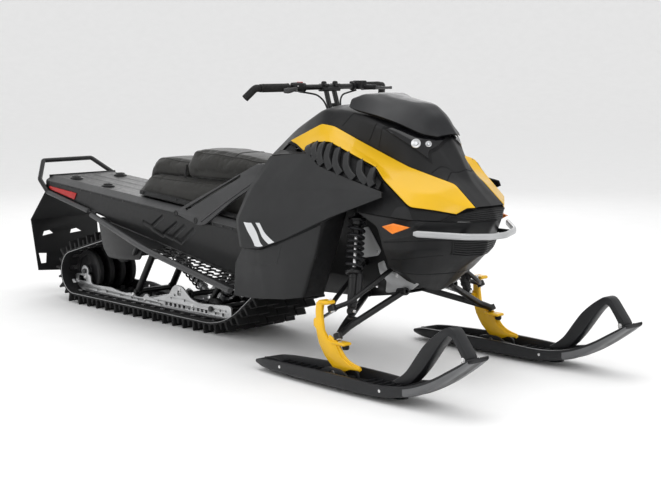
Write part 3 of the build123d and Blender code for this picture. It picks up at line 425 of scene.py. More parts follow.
def plateShape(outline, y, thickness, edge=1.0, holes=()):
    # flat plate standing in the xz plane: an outline with holes, its rim rounded by the edge
    curve = bpy.data.curves.new("plate", "CURVE")
    curve.dimensions = "2D"
    curve.fill_mode = "BOTH"
    curve.extrude = thickness / 2 - edge
    curve.bevel_depth = edge
    curve.bevel_resolution = 1
    curve.offset = -edge
    for ring in (outline, *holes):
        ring = np.asarray(ring, float)
        spline = curve.splines.new("POLY")
        spline.points.add(len(ring) - 1)
        spline.points.foreach_set("co", np.column_stack([ring, np.zeros(len(ring)), np.ones(len(ring))]).ravel())
        spline.use_cyclic_u = True
    holder = bpy.data.objects.new("plate", curve)
    mesh = bpy.data.meshes.new_from_object(holder)
    mesh.calc_loop_triangles()
    flat = np.zeros(len(mesh.vertices) * 3)
    mesh.vertices.foreach_get("co", flat)
    flat = flat.reshape(-1, 3)
    corners = np.zeros(len(mesh.loop_triangles) * 3, np.int32)
    mesh.loop_triangles.foreach_get("vertices", corners)
    corners = corners.reshape(-1, 3)
    bpy.data.objects.remove(holder)
    bpy.data.curves.remove(curve)
    bpy.data.meshes.remove(mesh)
    points = np.column_stack([flat[:, 0], flat[:, 2] + y, flat[:, 1]])
    return points, np.column_stack([corners[:, ::-1], corners[:, 2]])


def rounded(outline, count=80, rounding=0.3):
    # closed outline with its corners turned into parabolas
    ring = np.asarray(outline, float)
    n = len(ring)
    tripled = np.concatenate([ring, ring, ring])
    u = np.linspace(n, 2 * n, count, endpoint=False)
    return hats(3 * n, u, rounding) @ tripled


def ringAt(x, z, radius, count=20):
    return circle(radius, count) + np.array([x, z])


def squareAt(x, z, wide, high, corner=2.0):
    return roundBox(wide, high, corner, 2) + np.array([x, z])


def tubeShape(points, radius, count=40, sides=14, rounding=0.3, up=(0, 0, 1)):
    return sweepShape(smoothPath(points, count, rounding), circle(radius, sides), up)


def bothSides(shape):
    # the left shape and its mirror image
    return joined([sided(shape, 1), sided(shape, -1)])


def pairOf(name, shape, finish, bodies, slot, nodes=(), **looks):
    # one piece on the left and its mirror image on the right
    for side, ending, body in ((1, "Left", bodies[0]), (-1, "Right", bodies[-1])):
        suffix = "_l" if side > 0 else "_r"
        addPiece(
            name + ending, metres(sided(shape, side)), finishes[finish], body, slot,
            [node + suffix for node in nodes], **looks,
        )


def soften(node, finish, body="sled", edge=1.2):
    # merged copy of a CAD node with its edges rounded, shown in the node's place
    mesh = frame["nodes"][node].data.copy()
    work = bmesh.new()
    work.from_mesh(mesh)
    bmesh.ops.remove_doubles(work, verts=work.verts, dist=2e-5)
    bmesh.ops.dissolve_limit(work, angle_limit=math.radians(1.0), verts=work.verts, edges=work.edges)
    work.to_mesh(mesh)
    work.free()
    mesh.materials.clear()
    mesh.materials.append(finishes[finish])
    piece = bpy.data.objects.new("soft_" + node, mesh)
    bpy.context.scene.collection.objects.link(piece)
    rim = piece.modifiers.new("rim", "BEVEL")
    rim.width = edge * mm
    rim.segments = 2
    rim.limit_method = "ANGLE"
    rim.angle_limit = math.radians(34.0)
    rim.use_clamp_overlap = True
    rim.harden_normals = True
    dress(mesh, 34.0, False)
    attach(piece, body)
    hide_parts(node)
    return piece


# ---- finishes


def newFinish(name, colour, rough, metal=0.0):
    finish = bpy.data.materials.new(name)
    finish.use_nodes = True
    shader = finish.node_tree.nodes["Principled BSDF"]
    shader.inputs["Base Color"].default_value = (*colour, 1.0)
    shader.inputs["Roughness"].default_value = rough
    shader.inputs["Metallic"].default_value = metal
    shader.inputs["Specular IOR Level"].default_value = 0.24
    return finish, finish.node_tree, shader


def objectNoise(tree, scale, stretch=(1, 1, 1), detail=4.0):
    place = tree.nodes.new("ShaderNodeTexCoord")
    turn = tree.nodes.new("ShaderNodeMapping")
    turn.inputs["Scale"].default_value = stretch
    noise = tree.nodes.new("ShaderNodeTexNoise")
    noise.inputs["Scale"].default_value = scale
    noise.inputs["Detail"].default_value = detail
    tree.links.new(place.outputs["Object"], turn.inputs["Vector"])
    tree.links.new(turn.outputs["Vector"], noise.inputs["Vector"])
    return noise.outputs["Fac"]


def vary(tree, shader, socket, source, low, high):
    # a slow change of one value between two limits
    span = tree.nodes.new("ShaderNodeMapRange")
    span.inputs["From Min"].default_value = 0.3
    span.inputs["From Max"].default_value = 0.7
    span.inputs["To Min"].default_value = low
    span.inputs["To Max"].default_value = high
    tree.links.new(source, span.inputs["Value"])
    tree.links.new(span.outputs["Result"], shader.inputs[socket])


def tint(tree, shader, source, dark, light):
    ramp = tree.nodes.new("ShaderNodeValToRGB")
    ramp.color_ramp.elements[0].position = 0.3
    ramp.color_ramp.elements[0].color = (*dark, 1.0)
    ramp.color_ramp.elements[1].position = 0.7
    ramp.color_ramp.elements[1].color = (*light, 1.0)
    tree.links.new(source, ramp.inputs["Fac"])
    tree.links.new(ramp.outputs["Color"], shader.inputs["Base Color"])


def relief(tree, shader, source, strength, depth):
    bump = tree.nodes.new("ShaderNodeBump")
    bump.inputs["Strength"].default_value = strength
    bump.inputs["Distance"].default_value = depth
    tree.links.new(source, bump.inputs["Height"])
    tree.links.new(bump.outputs["Normal"], shader.inputs["Normal"])


def grainedPlastic(name, colour, rough, grain=1400.0, strength=0.12, coat=0.0, change=0.12):
    # moulded plastic: fine spark grain, slow change of shade and gloss
    finish, tree, shader = newFinish(name, colour, rough)
    slow, fine = objectNoise(tree, 7.0), objectNoise(tree, grain, detail=2.0)
    tint(tree, shader, slow, [c * (1 - change) for c in colour], [min(c * (1 + change), 1) for c in colour])
    vary(tree, shader, "Roughness", objectNoise(tree, 26.0), rough - 0.05, rough + 0.06)
    relief(tree, shader, fine, strength, 0.0004)
    shader.inputs["Coat Weight"].default_value = coat
    shader.inputs["Coat Roughness"].default_value = 0.12
    return finish


def hide(name, colour):
    # coated seat cover: pebbled grain from cells, a little sheen
    finish, tree, shader = newFinish(name, colour, 0.55)
    place = tree.nodes.new("ShaderNodeTexCoord")
    cells = tree.nodes.new("ShaderNodeTexVoronoi")
    cells.inputs["Scale"].default_value = 620.0
    tree.links.new(place.outputs["Object"], cells.inputs["Vector"])
    slow = objectNoise(tree, 9.0)
    tint(tree, shader, slow, [c * 0.82 for c in colour], [c * 1.2 for c in colour])
    vary(tree, shader, "Roughness", objectNoise(tree, 40.0), 0.48, 0.62)
    relief(tree, shader, cells.outputs["Distance"], 0.25, 0.0006)
    shader.inputs["Sheen Weight"].default_value = 0.15
    shader.inputs["Sheen Roughness"].default_value = 0.4
    return finish


def brushedMetal(name, colour, rough, stretch=(4, 60, 60), metal=1.0):
    # metal with fine lines along its length and handling marks
    finish, tree, shader = newFinish(name, colour, rough, metal)
    lines = objectNoise(tree, 30.0, stretch, 3.0)
    tint(tree, shader, objectNoise(tree, 11.0), [c * 0.86 for c in colour], [min(c * 1.08, 1) for c in colour])
    vary(tree, shader, "Roughness", lines, rough - 0.08, rough + 0.12)
    relief(tree, shader, lines, 0.08, 0.0003)
    return finish


def paint(name, colour, rough, metal=0.0, coat=0.2):
    # powder coat: orange peel and slight change of shade
    finish, tree, shader = newFinish(name, colour, rough, metal)
    tint(tree, shader, objectNoise(tree, 8.0), [c * 0.88 for c in colour], [min(c * 1.1, 1) for c in colour])
    vary(tree, shader, "Roughness", objectNoise(tree, 60.0), rough - 0.05, rough + 0.07)
    relief(tree, shader, objectNoise(tree, 520.0, detail=2.0), 0.1, 0.0003)
    shader.inputs["Coat Weight"].default_value = coat
    shader.inputs["Coat Roughness"].default_value = 0.2
    return finish


def moulded(name, colour, rough):
    # rubber: dull, slightly uneven, pores
    finish, tree, shader = newFinish(name, colour, rough)
    tint(tree, shader, objectNoise(tree, 14.0), [c * 0.75 for c in colour], [c * 1.35 for c in colour])
    vary(tree, shader, "Roughness", objectNoise(tree, 28.0), rough - 0.1, rough + 0.1)
    relief(tree, shader, objectNoise(tree, 700.0), 0.2, 0.0005)
    return finish


def lens(name, colour, rough, clear=0.0):
    finish, tree, shader = newFinish(name, colour, rough)
    tint(tree, shader, objectNoise(tree, 30.0), [c * 0.9 for c in colour], [min(c * 1.1, 1) for c in colour])
    shader.inputs["Transmission Weight"].default_value = clear
    shader.inputs["Coat Weight"].default_value = 0.35
    shader.inputs["Coat Roughness"].default_value = 0.03
    return finish


finishes = {
    "sidePlastic": grainedPlastic("side plastic", (0.0185, 0.019, 0.0198), 0.44),
    "shellPlastic": grainedPlastic("shell plastic", (0.0098, 0.01, 0.0107), 0.4),
    "cowlPlastic": grainedPlastic("cowl plastic", (0.014, 0.0145, 0.016), 0.38),
    "nosePlastic": grainedPlastic("nose plastic", (0.0075, 0.0077, 0.0083), 0.38),
    "yellow": grainedPlastic("yellow plastic", (0.72, 0.42, 0.008), 0.34, 900.0, 0.03, 0.2, 0.04),
    "ski": grainedPlastic("ski plastic", (0.018, 0.0185, 0.02), 0.38, 500.0, 0.1),
    "pale": grainedPlastic("pale plastic", (0.13, 0.132, 0.136), 0.42, 500.0, 0.1),
    "vinyl": hide("seat vinyl", (0.0185, 0.018, 0.016)),
    "tunnel": paint("tunnel paint", (0.008, 0.0082, 0.0087), 0.42),
    "tunnelEdge": paint("tunnel top paint", (0.045, 0.0455, 0.047), 0.42),
    "frame": paint("frame paint", (0.0075, 0.0075, 0.008), 0.38),
    "arm": paint("arm paint", (0.04, 0.0405, 0.042), 0.4),
    "silver": paint("silver paint", (0.46, 0.465, 0.47), 0.34, 0.3, 0.3),
    "cast": paint("cast metal", (0.30, 0.305, 0.31), 0.45, 0.6, 0.0),
    "knuckle": paint("yellow paint", (0.86, 0.49, 0.008), 0.34, 0.0, 0.3),
    "rail": brushedMetal("bare metal", (0.56, 0.565, 0.57), 0.38),
    "steel": brushedMetal("bolt metal", (0.72, 0.72, 0.72), 0.25, (30, 30, 30)),
    "rubber": moulded("track rubber", (0.013, 0.013, 0.0135), 0.7),
    "grip": moulded("grip rubber", (0.012, 0.012, 0.012), 0.62),
    "wheel": grainedPlastic("wheel plastic", (0.014, 0.014, 0.015), 0.4),
    "mesh": paint("grille black", (0.0025, 0.0025, 0.003), 0.6, coat=0.0),
    "red": lens("red lens", (0.42, 0.012, 0.01), 0.25),
    "amber": lens("amber lens", (0.85, 0.22, 0.015), 0.2),
    "smoke": lens("smoked lens", (0.005, 0.005, 0.006), 0.16),
    # light grey reflector: partly the part's own colour, partly a painted highlight in the headlamp
    "bulb": lens("reflector", (0.75, 0.77, 0.8), 0.15),
    "stripe": grainedPlastic("pale stripe", (0.66, 0.67, 0.68), 0.35, 900.0, 0.03, 0.3, 0.04),
    "floor": grainedPlastic("floor", studio["floorColour"][:3], 0.6, 60.0, 0.02, 0.0, 0.01),
}
print("finishes:", len(finishes))


def addFloor(setup):
    # flat round floor whose rim curves up far away, so that no horizon line shows
    reach, bend = setup["floorRadius"], setup["floorBend"]
    turn = np.linspace(0, math.pi / 2, 16)
    radius = np.concatenate([[0.01, 1.0, 4.0, 9.0], reach + bend * np.sin(turn)])
    height = np.concatenate([np.zeros(4), bend * (1 - np.cos(turn))]) - setup["floorDrop"]
    ring = circle(1.0, 96)
    points = np.concatenate([np.column_stack([ring * r, np.full(96, z)]) for r, z in zip(radius, height)])
    mesh = bpy.data.meshes.new("floor")
    faces = gridQuads(len(radius), 96, False, True)[:, ::-1].tolist() + [list(range(96))]
    mesh.from_pydata(points.tolist(), [], faces)
    dress(mesh, 60.0, False)
    floor = bpy.data.objects.new("floor", mesh)
    bpy.context.scene.collection.objects.link(floor)
    mesh.materials.append(finishes["floor"])


addFloor(studio)

nodeFinish = {
    "console": "shellPlastic", "cowl": "cowlPlastic", "strip_l": "yellow", "strip_r": "yellow",
    "vent_l": "shellPlastic", "vent_r": "shellPlastic", "upper_side_l": "sidePlastic", "upper_side_r": "sidePlastic",
    "lower_side_l": "sidePlastic", "lower_side_r": "sidePlastic", "nose_panel": "nosePlastic", "belly_pan": "sidePlastic",
    "front_bumper": "silver", "front_frame": "cast", "engine": "cast", "track": "rubber", "slide_rails": "rail",
    "rear_wheels": "wheel", "carrier_wheels": "wheel", "drive_axle": "wheel", "rail_wheels": "wheel",
    "rear_suspension": "frame", "front_suspension": "frame", "tunnel": "tunnel", "running_board_l": "frame",
    "running_board_r": "frame", "grab_bar": "frame", "snow_flap": "shellPlastic", "frame_arm_l": "arm", "frame_arm_r": "arm",
    "seat_tier": "vinyl", "seat_cushion": "vinyl", "seat_bolster": "vinyl", "lower_arm_l": "frame", "lower_arm_r": "frame",
    "upper_arm_l": "frame", "upper_arm_r": "frame", "shock_l": "frame", "shock_r": "frame", "spindle_l": "knuckle",
    "spindle_r": "knuckle", "ski_l": "ski", "ski_r": "ski", "ski_loop_l": "ski", "ski_loop_r": "ski", "riser": "frame",
    "handlebar": "frame", "grip_l": "grip", "grip_r": "grip", "control_l": "shellPlastic", "control_r": "shellPlastic",
    "tie_rod_l": "frame", "tie_rod_r": "frame", "headlamps": "smoke", "side_markers": "amber", "tail_lights": "red",
    "tail_light_l": "red", "tail_light_r": "red",
}
for nodeName, node in frame["nodes"].items():
    node.data.materials.clear()
    node.data.materials.append(finishes[nodeFinish[nodeName]])
print("nodes dressed")

# ---- body panels

bodyNets = {
    # rows run from the rear to the nose, points from the left edge to the middle
    "console": [
        [(-690, 170, 735), (-690, 140, 785), (-690, 70, 800), (-690, 0, 802)],
        [(-515, 200, 843), (-560, 130, 885), (-555, 70, 905), (-550, 0, 908)],
        [(-375, 165, 912), (-420, 120, 965), (-410, 60, 978), (-405, 0, 980)],
        [(-308, 162, 905), (-300, 140, 965), (-280, 70, 985), (-280, 0, 988)],
        [(-161, 158, 852), (-150, 152, 945), (-110, 80, 960), (-105, 0, 965)],
        [(-35, 148, 806), (-35, 152, 903), (20, 80, 915), (30, 0, 925)],
        [(60, 140, 772), (60, 120, 860), (110, 62, 868), (125, 0, 885)],
        [(150, 107, 742), (130, 75, 805), (160, 50, 800), (172, 0, 820)],
        [(226, 75, 716), (226, 50, 722), (226, 25, 724), (230, 0, 726)],
        [(323, 75, 640), (326, 50, 641), (329, 25, 641), (332, 0, 641)],
    ],
    "cowl": [
        [(-245, 150, 980), (-250, 130, 1012), (-245, 60, 1015), (-245, 0, 1016)],
        [(-206, 156, 970), (-206, 110, 1030), (-200, 50, 1032), (-200, 0, 1034)],
        [(-102, 156, 955), (-100, 95, 988), (-100, 50, 1012), (-100, 0, 1014)],
        [(-6, 134, 928), (2, 92, 958), (16, 45, 993), (48, 0, 995)],
        [(80, 100, 890), (72, 74, 920), (84, 40, 950), (104, 0, 954)],
        [(122, 62, 880), (130, 45, 884), (146, 20, 888), (158, 0, 889)],
    ],
    "strip": [
        [(-515, 203, 843), (-470, 212, 832), (-409, 232, 811)],
        [(-375, 168.5, 912), (-385, 198, 865), (-376, 215, 845)],
        [(-308, 165.5, 905), (-300, 198, 872), (-275, 222, 852)],
        [(-161, 161.5, 852), (-182, 205, 842), (-165, 240, 824)],
        [(-35, 151.5, 806), (-45, 215, 790), (17, 265, 777)],
        [(60, 143.5, 772), (60, 232, 737), (59, 268, 732)],
        [(150, 110.5, 742), (140, 222, 694), (173, 258, 645)],
        [(226, 78.5, 716), (208, 165, 686), (231, 190, 632)],
        [(323, 78.5, 640), (302, 99, 638), (280, 130, 617)],
    ],
    "vent": [
        [(-560, 214, 806), (-405, 226, 804), (-372, 211, 838), (-278, 217, 844), (-168, 235, 816),
         (6, 256, 768), (44, 258, 732)],
        [(-560, 262, 788), (-450, 262, 798), (-343, 260, 800), (-275, 275, 765), (-160, 288, 738),
         (0, 300, 712), (60, 300, 700)],
    ],
    "upperSide": [
        [(-558, 270, 784), (-530, 270, 787), (-450, 268, 796), (-343, 268, 806), (-270, 285, 764), (-90, 302, 728),
         (94, 320, 696)],
        [(-596, 350, 662), (-566, 357, 663), (-500, 352, 665), (-400, 350, 670), (-300, 344, 680), (-90, 334, 690),
         (96, 323, 688)],
        [(-632, 386, 540), (-602, 398, 542), (-540, 400, 545), (-440, 392, 560), (-330, 378, 585), (-110, 350, 640),
         (98, 324, 682)],
        [(-590, 400, 440), (-570, 408, 441), (-530, 412, 442), (-458, 420, 448), (-340, 402, 490), (-120, 362, 592),
         (100, 325, 676)],
    ],
    "lowerSide": [
        [(-598, 380, 434), (-530, 396, 436), (-462, 404, 440), (-350, 396, 478), (-160, 372, 560), (-148, 255, 596)],
        [(-644, 380, 369), (-540, 392, 370), (-470, 398, 372), (-340, 390, 380), (-200, 372, 430), (-195, 260, 450)],
        [(-655, 378, 240), (-560, 374, 240), (-470, 370, 248), (-380, 362, 256), (-285, 348, 274), (-269, 258, 275)],
    ],
    "nose": [
        [(-40, 268, 706), (55, 268, 722), (166, 252, 637), (272, 132, 612), (326, 75, 631), (336, 0, 634)],
        [(-60, 286, 612), (60, 280, 604), (171, 251, 596), (241, 159, 590), (312, 80, 589), (350, 0, 590)],
    ],
    "belly": [
        [(-60, 286, 609.3), (60, 280, 601.3), (171, 251, 593.3), (241, 159, 587.3), (312, 80, 586.3), (350, 0, 587.3)],
        [(28, 272, 560), (100, 258, 556), (172, 230, 549), (232, 158, 541), (289, 83, 539), (318, 0, 540)],
        [(36, 250, 480), (100, 244, 478), (160, 220, 482), (226, 152, 483), (271, 62, 468), (300, 0, 468)],
        [(42, 222, 410), (90, 200, 396), (120, 160, 392), (150, 120, 392), (172, 60, 392), (180, 0, 392)],
        [(58, 150, 356), (68, 114, 338), (74, 84, 324), (80, 54, 316), (84, 27, 309), (86, 0, 306)],
    ],
}
for wide in ("console", "cowl", "nose", "belly"):
    bodyNets[wide] = withMirror(bodyNets[wide])

panelLooks = {
    # finish, slot, a point inside the body, rounding of the folds, nodes by side
    "console": ("shellPlastic", "black_plastic", (-300, 0, 700), 0.22, ("console",)),
    "cowl": ("cowlPlastic", "gloss_black", (-100, 0, 850), 0.3, ("cowl",)),
    "strip": ("yellow", "yellow_plastic", (-200, 0, 600), 0.14, ("strip_l", "strip_r")),
    "vent": ("mesh", "black_plastic", (-200, 0, 600), 0.12, ("vent_l", "vent_r")),
    "upperSide": ("sidePlastic", "grey_plastic", (-300, 0, 600), 0.16, ("upper_side_l", "upper_side_r")),
    "lowerSide": ("sidePlastic", "grey_plastic", (-380, 0, 400), 0.16, ("lower_side_l", "lower_side_r")),
    "nose": ("nosePlastic", "black_plastic", (0, 0, 560), 0.1, ("nose_panel",)),
    "belly": ("shellPlastic", "grey_plastic", (100, 0, 480), 0.16, ("belly_pan",)),
}
wallThickness = 3.4
wellRadius = 42.0
columnTilt = math.radians(18.0)
columnAxis = np.array([-math.sin(columnTilt), 0.0, math.cos(columnTilt)])
columnFoot = np.array([-466.0, 0.0, 905.0])


def besideColumn(points, radius):
    # how far points stand from the steering axis, less the radius
    away = points - columnFoot
    return np.linalg.norm(away - np.outer(away @ columnAxis, columnAxis), axis=1) - radius


def addPanels():
    for panel, (finish, slot, core, rounding, nodes) in panelLooks.items():
        net = bodyNets[panel]
        shape = facing(sheetShape(net, rounding, 6 if panel in ("console", "cowl") else 4), core)
        if panel == "console":
            points, quads = shape
            shape = points, quads[besideColumn(points[quads].mean(1), wellRadius + 2) > 0]
        for side, node in zip((1, -1), nodes):
            ending = "" if len(nodes) == 1 else ("Left" if side > 0 else "Right")
            piece = addPiece(
                panel + ending, metres(sided(shape, side)), finishes[finish], "sled", slot, (node,),
                closed=False, sharp=22.0,
            )
            thicken(piece, wallThickness, 1.1)


def addOverlay(name, patches, finish, slot, depth=1.2, edge=0.4, both=True, body="sled"):
    # thin plates lying on a panel; those drawn on the left are repeated on the right
    for side in ((1, -1) if both else (1,)):
        shape = joined([metres(sided(patch, side)) for patch in patches])
        ending = ("Left" if side > 0 else "Right") if both else ""
        piece = addPiece(name + ending, shape, finishes[finish], body, slot, closed=False, sharp=22.0)
        thicken(piece, depth, edge)


def onPanel(panel, corners, lift, fine=(10, 10)):
    finish, slot, core, rounding, nodes = panelLooks[panel]
    return patchShape(bodyNets[panel], corners, lift, fine, rounding, core)


def lineOnPanel(panel, start, end, width, lift=0.35):
    # narrow band along a line in net coordinates
    start, end = np.asarray(start, float), np.asarray(end, float)
    run = unit(end - start)
    aside = np.array([-run[1], run[0]]) * width / 2
    return onPanel(panel, [start - aside, end - aside, end + aside, start + aside], lift, (24, 3))


def addPanelDetail():
    hatches = [
        onPanel("console", [(2.45, 0.2), (2.95, 1.1), (3.5, 1.1), (3.22, 0.18)], 1.6),
        onPanel("console", [(3.28, 0.18), (3.56, 1.1), (4.45, 1.0), (4.22, 0.12)], 1.6),
        onPanel("console", [(1.35, 1.5), (1.35, 4.5), (1.05, 4.5), (1.05, 1.5)], 1.6),
    ]
    addOverlay("consoleHatch", hatches, "shellPlastic", "black_plastic", 1.6, 0.6)
    seams = [
        lineOnPanel("console", (7.6, 0.05), (7.6, 2.95), 0.05),
        lineOnPanel("console", (1.2, 1.6), (1.2, 2.9), 0.02),
        lineOnPanel("console", (6.9, 0.1), (7.55, 1.4), 0.05),
        lineOnPanel("console", (4.6, 0.1), (4.75, 1.3), 0.03),
    ]
    addOverlay("consoleSeam", seams, "mesh", "black_plastic", 0.3, 0.0)
    sideSeams = [
        lineOnPanel("nose", (0.1, 0.35), (0.85, 0.75), 0.02),
        lineOnPanel("nose", (0.02, 2.0), (0.98, 1.75), 0.02),
    ]
    addOverlay("noseSeam", sideSeams, "mesh", "black_plastic", 0.3, 0.0)
    bellySeams = [
        lineOnPanel("belly", (1.67, 0.12), (1.31, 3.45), 0.04),
        lineOnPanel("belly", (2.5, 0.25), (2.2, 3.2), 0.02),
        lineOnPanel("belly", (3.1, 0.1), (3.1, 4.9), 0.05),
    ]
    addOverlay("bellySeam", bellySeams, "mesh", "grey_plastic", 0.3, 0.0)
    facets = [onPanel("belly", [(0.07, 0.1), (0.07, 2.5), (1.25, 1.75), (1.6, 0.15)], 0.7)]
    addOverlay("markerFacet", facets, "sidePlastic", "grey_plastic", 0.8, 0.3)
    stripes = [
        onPanel("upperSide", [(2.06, 1.54), (2.09, 2.18), (2.97, 3.19), (2.92, 2.65)], 0.5),
        onPanel("upperSide", [(2.1, 2.42), (2.12, 2.66), (2.98, 3.67), (2.975, 3.43)], 0.5),
    ]
    addOverlay("sideStripe", stripes, "stripe", "silver_paint", 0.4, 0.1)
    facets = [onPanel("lowerSide", [(0.1, 0.1), (0.1, 2.95), (0.8, 2.7), (0.86, 0.1)], 0.8)]
    addOverlay("lowerSideFacet", facets, "sidePlastic", "grey_plastic", 0.9, 0.4)
    # painted shade: black sheets along the top of the lower side panel under the upper panel, and over its front facet
    # beside the shock
    paintedShadeSheets = [
        onPanel("lowerSide", [(-0.09, 0.3), (-0.09, 4.0), (0.04, 4.0), (0.04, 0.3)], 0.6, (4, 40)),
        onPanel("lowerSide", [(-0.05, 4.02), (-0.05, 4.98), (1.98, 4.98), (1.98, 4.06)], 0.6, (14, 10)),
    ]
    addOverlay("sidePaintedShade", paintedShadeSheets, "mesh", "black_plastic", 0.4, 0.0)
    facets = [onPanel("nose", [(0.02, 1.95), (0.98, 2.08), (0.98, 1.3), (0.55, 1.5)], 0.7)]
    addOverlay("noseFacet", facets, "sidePlastic", "grey_plastic", 0.8, 0.3)
    surround = [onPanel("console", [(4.72, 0.92), (5.0, 1.62), (6.2, 2.9), (6.9, 0.55)], 0.5, (24, 24))]
    addOverlay("lampSurround", surround, "mesh", "black_plastic", 0.5, 0.1)


def addLiners(setup):
    # dark sheets a little inside the panels and a little past their borders, which close the seams to view
    for panel, reach in setup["reach"].items():
        net = np.asarray(bodyNets[panel], float)
        core = np.asarray(panelLooks[panel][2], float)
        rows, cols = net.shape[0] - 1, net.shape[1] - 1
        (a, b), (c, d) = reach
        corners = [(-a, -c), (rows + b, -c), (rows + b, cols + d), (-a, cols + d)]
        points, quads = patchShape(net, corners, -setup["depth"], (44, 30), 0.16, core)
        if panel == "console":
            quads = quads[besideColumn(points[quads].mean(1), wellRadius + 4) > 0]
        for side in (1, -1) if len(panelLooks[panel][4]) == 2 else (1,):
            ending = ("Left" if side > 0 else "Right") if len(panelLooks[panel][4]) == 2 else ""
            piece = addPiece(
                panel + "Liner" + ending, metres(sided((points, quads), side)), finishes["mesh"], "sled", "black_plastic",
                closed=False, sharp=40.0,
            )
            thicken(piece, 1.5, 0.2)
    points = np.asarray(setup["plugs"], float).reshape(-1, 3)
    quads = np.arange(len(points)).reshape(-1, 4)
    for side, ending in ((1, "Left"), (-1, "Right")):
        piece = addPiece(
            "shellPlugs" + ending, metres(sided((points, quads), side)), finishes["mesh"], "sled", "black_plastic",
            closed=False, sharp=40.0,
        )
        thicken(piece, 1.5, 0.2)


liners = {
    "depth": 8.0,
    # cells past the first and last row, then past the first and last column
    "reach": {
        "strip": ((0.12, 0.05), (0.12, 0.1)), "vent": ((0.0, 0.12), (0.12, 0.0)), "upperSide": ((0.06, 0.0), (0.0, 0.0)),
        "nose": ((0.07, 0.06), (0.0, 0.0)), "console": ((0.0, 0.1), (0.1, 0.1)), "cowl": ((0.0, 0.0), (0.0, 0.0)),
    },
    # corners of the small sheets behind the two ends of the yellow strip
    "plugs": (
        ((-620, 172, 775), (-600, 206, 768), (-468, 212, 792), (-500, 194, 838)),
        ((268, 118, 648), (264, 122, 604), (318, 62, 606), (316, 62, 648)),
    ),
}


def addKneeWall(setup):
    # folded wall which runs down from the rear edge of the console under the front of the seat
    net = withMirror(setup["rows"])
    piece = addPiece(
        "kneeWall", metres(facing(sheetShape(net, setup["rounding"], 5), (-740, 0, 500))), finishes["shellPlastic"], "sled",
        "black_plastic", closed=False, sharp=40.0,
    )
    thicken(piece, wallThickness)


kneeWall = {
    "rows": [
        [(-682, 172, 480), (-682, 168, 640), (-682, 163, 732), (-682, 135, 778), (-682, 70, 793), (-682, 0, 795)],
        [(-745, 166, 480), (-745, 160, 580), (-745, 154, 650), (-745, 126, 700), (-745, 64, 722), (-745, 0, 726)],
        [(-822, 158, 480), (-822, 152, 530), (-822, 147, 590), (-822, 108, 652), (-822, 60, 706), (-822, 0, 710)],
    ],
    "rounding": 0.3,
}


def addCollar():
    # rubber lip round the well of the steering column, following the console
    turn = np.linspace(0, 2 * math.pi, 72, endpoint=False)
    net = np.asarray(bodyNets["console"], float)
    u, v = np.meshgrid(np.linspace(0.6, 2.4, 240), np.linspace(2.0, 4.0, 120), indexing="ij")
    cloud = onNet(net, u.ravel(), v.ravel(), 0.22)
    away = cloud - columnFoot
    away -= np.outer(away @ columnAxis, columnAxis)
    radius = np.linalg.norm(away, axis=1)
    angle = np.arctan2(away[:, 1], away @ np.cross((0.0, 1.0, 0.0), columnAxis))
    ring = []
    for place in turn:
        apart = np.abs((angle - place + math.pi) % (2 * math.pi) - math.pi)
        ring.append(cloud[np.argmin(apart * wellRadius + np.abs(radius - wellRadius - 2.0) * 2)])
    ring = np.array(ring)
    ring = (np.roll(ring, 1, 0) + ring + np.roll(ring, -1, 0)) / 3
    piece = sweepShape(ring + columnAxis * 1.5, roundBox(9.0, 7.0, 2.5, 3), columnAxis, closed=True)
    addPiece("columnLip", metres(piece), finishes["grip"], "sled", "black_plastic")


def addVentFins(fin):
    # thick ribs: a tapered profile carried down a hooked line across the vent
    net = np.asarray(bodyNets["vent"], float)
    for side in (1, -1):
        shapes = []
        for k in range(fin["count"]):
            u = fin["start"] + fin["pitch"] * k
            share = np.linspace(0, 1, 14)
            across = u + fin["lean"] * share + fin["hook"] * np.clip(share - 0.55, 0, 1) ** 2
            line = onNet(net, fin["from"] + fin["reach"] * share, across, 0.12)
            out = np.array([0.05, 0.78, 0.6])
            line = line + out * (fin["sink"] + fin["stand"] * np.sin(share * math.pi) ** 0.6)[:, None]
            shapes.append(sweepShape(line, roundBox(fin["wide"], fin["deep"], 4.0), (0, 1, 0.7)))
        name = "ventFins" + ("Left" if side > 0 else "Right")
        addPiece(name, metres(sided(joined(shapes), side)), finishes["sidePlastic"], "sled", "black_plastic")


ventFin = {
    "count": 8, "start": 1.7, "pitch": 0.47, "lean": 0.28, "hook": 1.2, "from": 0.04, "reach": 0.9,
    "sink": 1.0, "stand": 8.0, "wide": 27.0, "deep": 18.0,
}

addPanels()
addPanelDetail()
addLiners(liners)
addKneeWall(kneeWall)
addCollar()
addVentFins(ventFin)
print("body panels")

# ---- lamps, grilles and bumper


def lensShape(outline, out, proud, depth, dome):
    # rings of an outline drawn towards its middle, rising to a dome; closed at the back
    ring = np.asarray(outline, float)
    ring = np.concatenate([ring[k] + (np.roll(ring, -1, 0)[k] - ring[k]) * np.linspace(0, 1, 6)[:-1, None] for k in range(len(ring))])
    middle, way = ring.mean(0), unit(np.asarray(out, float))
    ring = ring - np.outer((ring - middle) @ way, way)
    scales = np.array([0.0, 0.5, 0.985, 1.0, 1.0, 0.985, 0.93, 0.75, 0.5, 0.25, 0.0])
    heights = np.array([-depth, -depth, -depth, -depth + 0.6, -0.8, 0.0, 0.25, 0.7, 0.88, 0.97, 1.0])
    heights[5:] *= dome
    points = middle + (ring - middle)[None] * scales[:, None, None] + way * (heights + proud)[:, None, None]
    return points.reshape(-1, 3), gridQuads(len(scales), len(ring), False, True)


lampShapes = {
    "head": ((4.87, 0.96), (5.1, 1.5), (6.12, 2.6), (6.72, 0.7)),
    "bowls": (((6.05, 1.04), 17.0), ((6.2, 1.55), 11.0)),
    "amber": ((76, 296, 569), (120, 284, 583), (184, 262, 572), (118, 284, 545)),
    "amberOut": (0.25, 0.96, 0.1),
    "tail": ((-2240, 210.3, 541), (-2236, 210.3, 549), (-2009, 210.3, 531), (-2027, 210.3, 500), (-2216, 210.3, 531)),
}


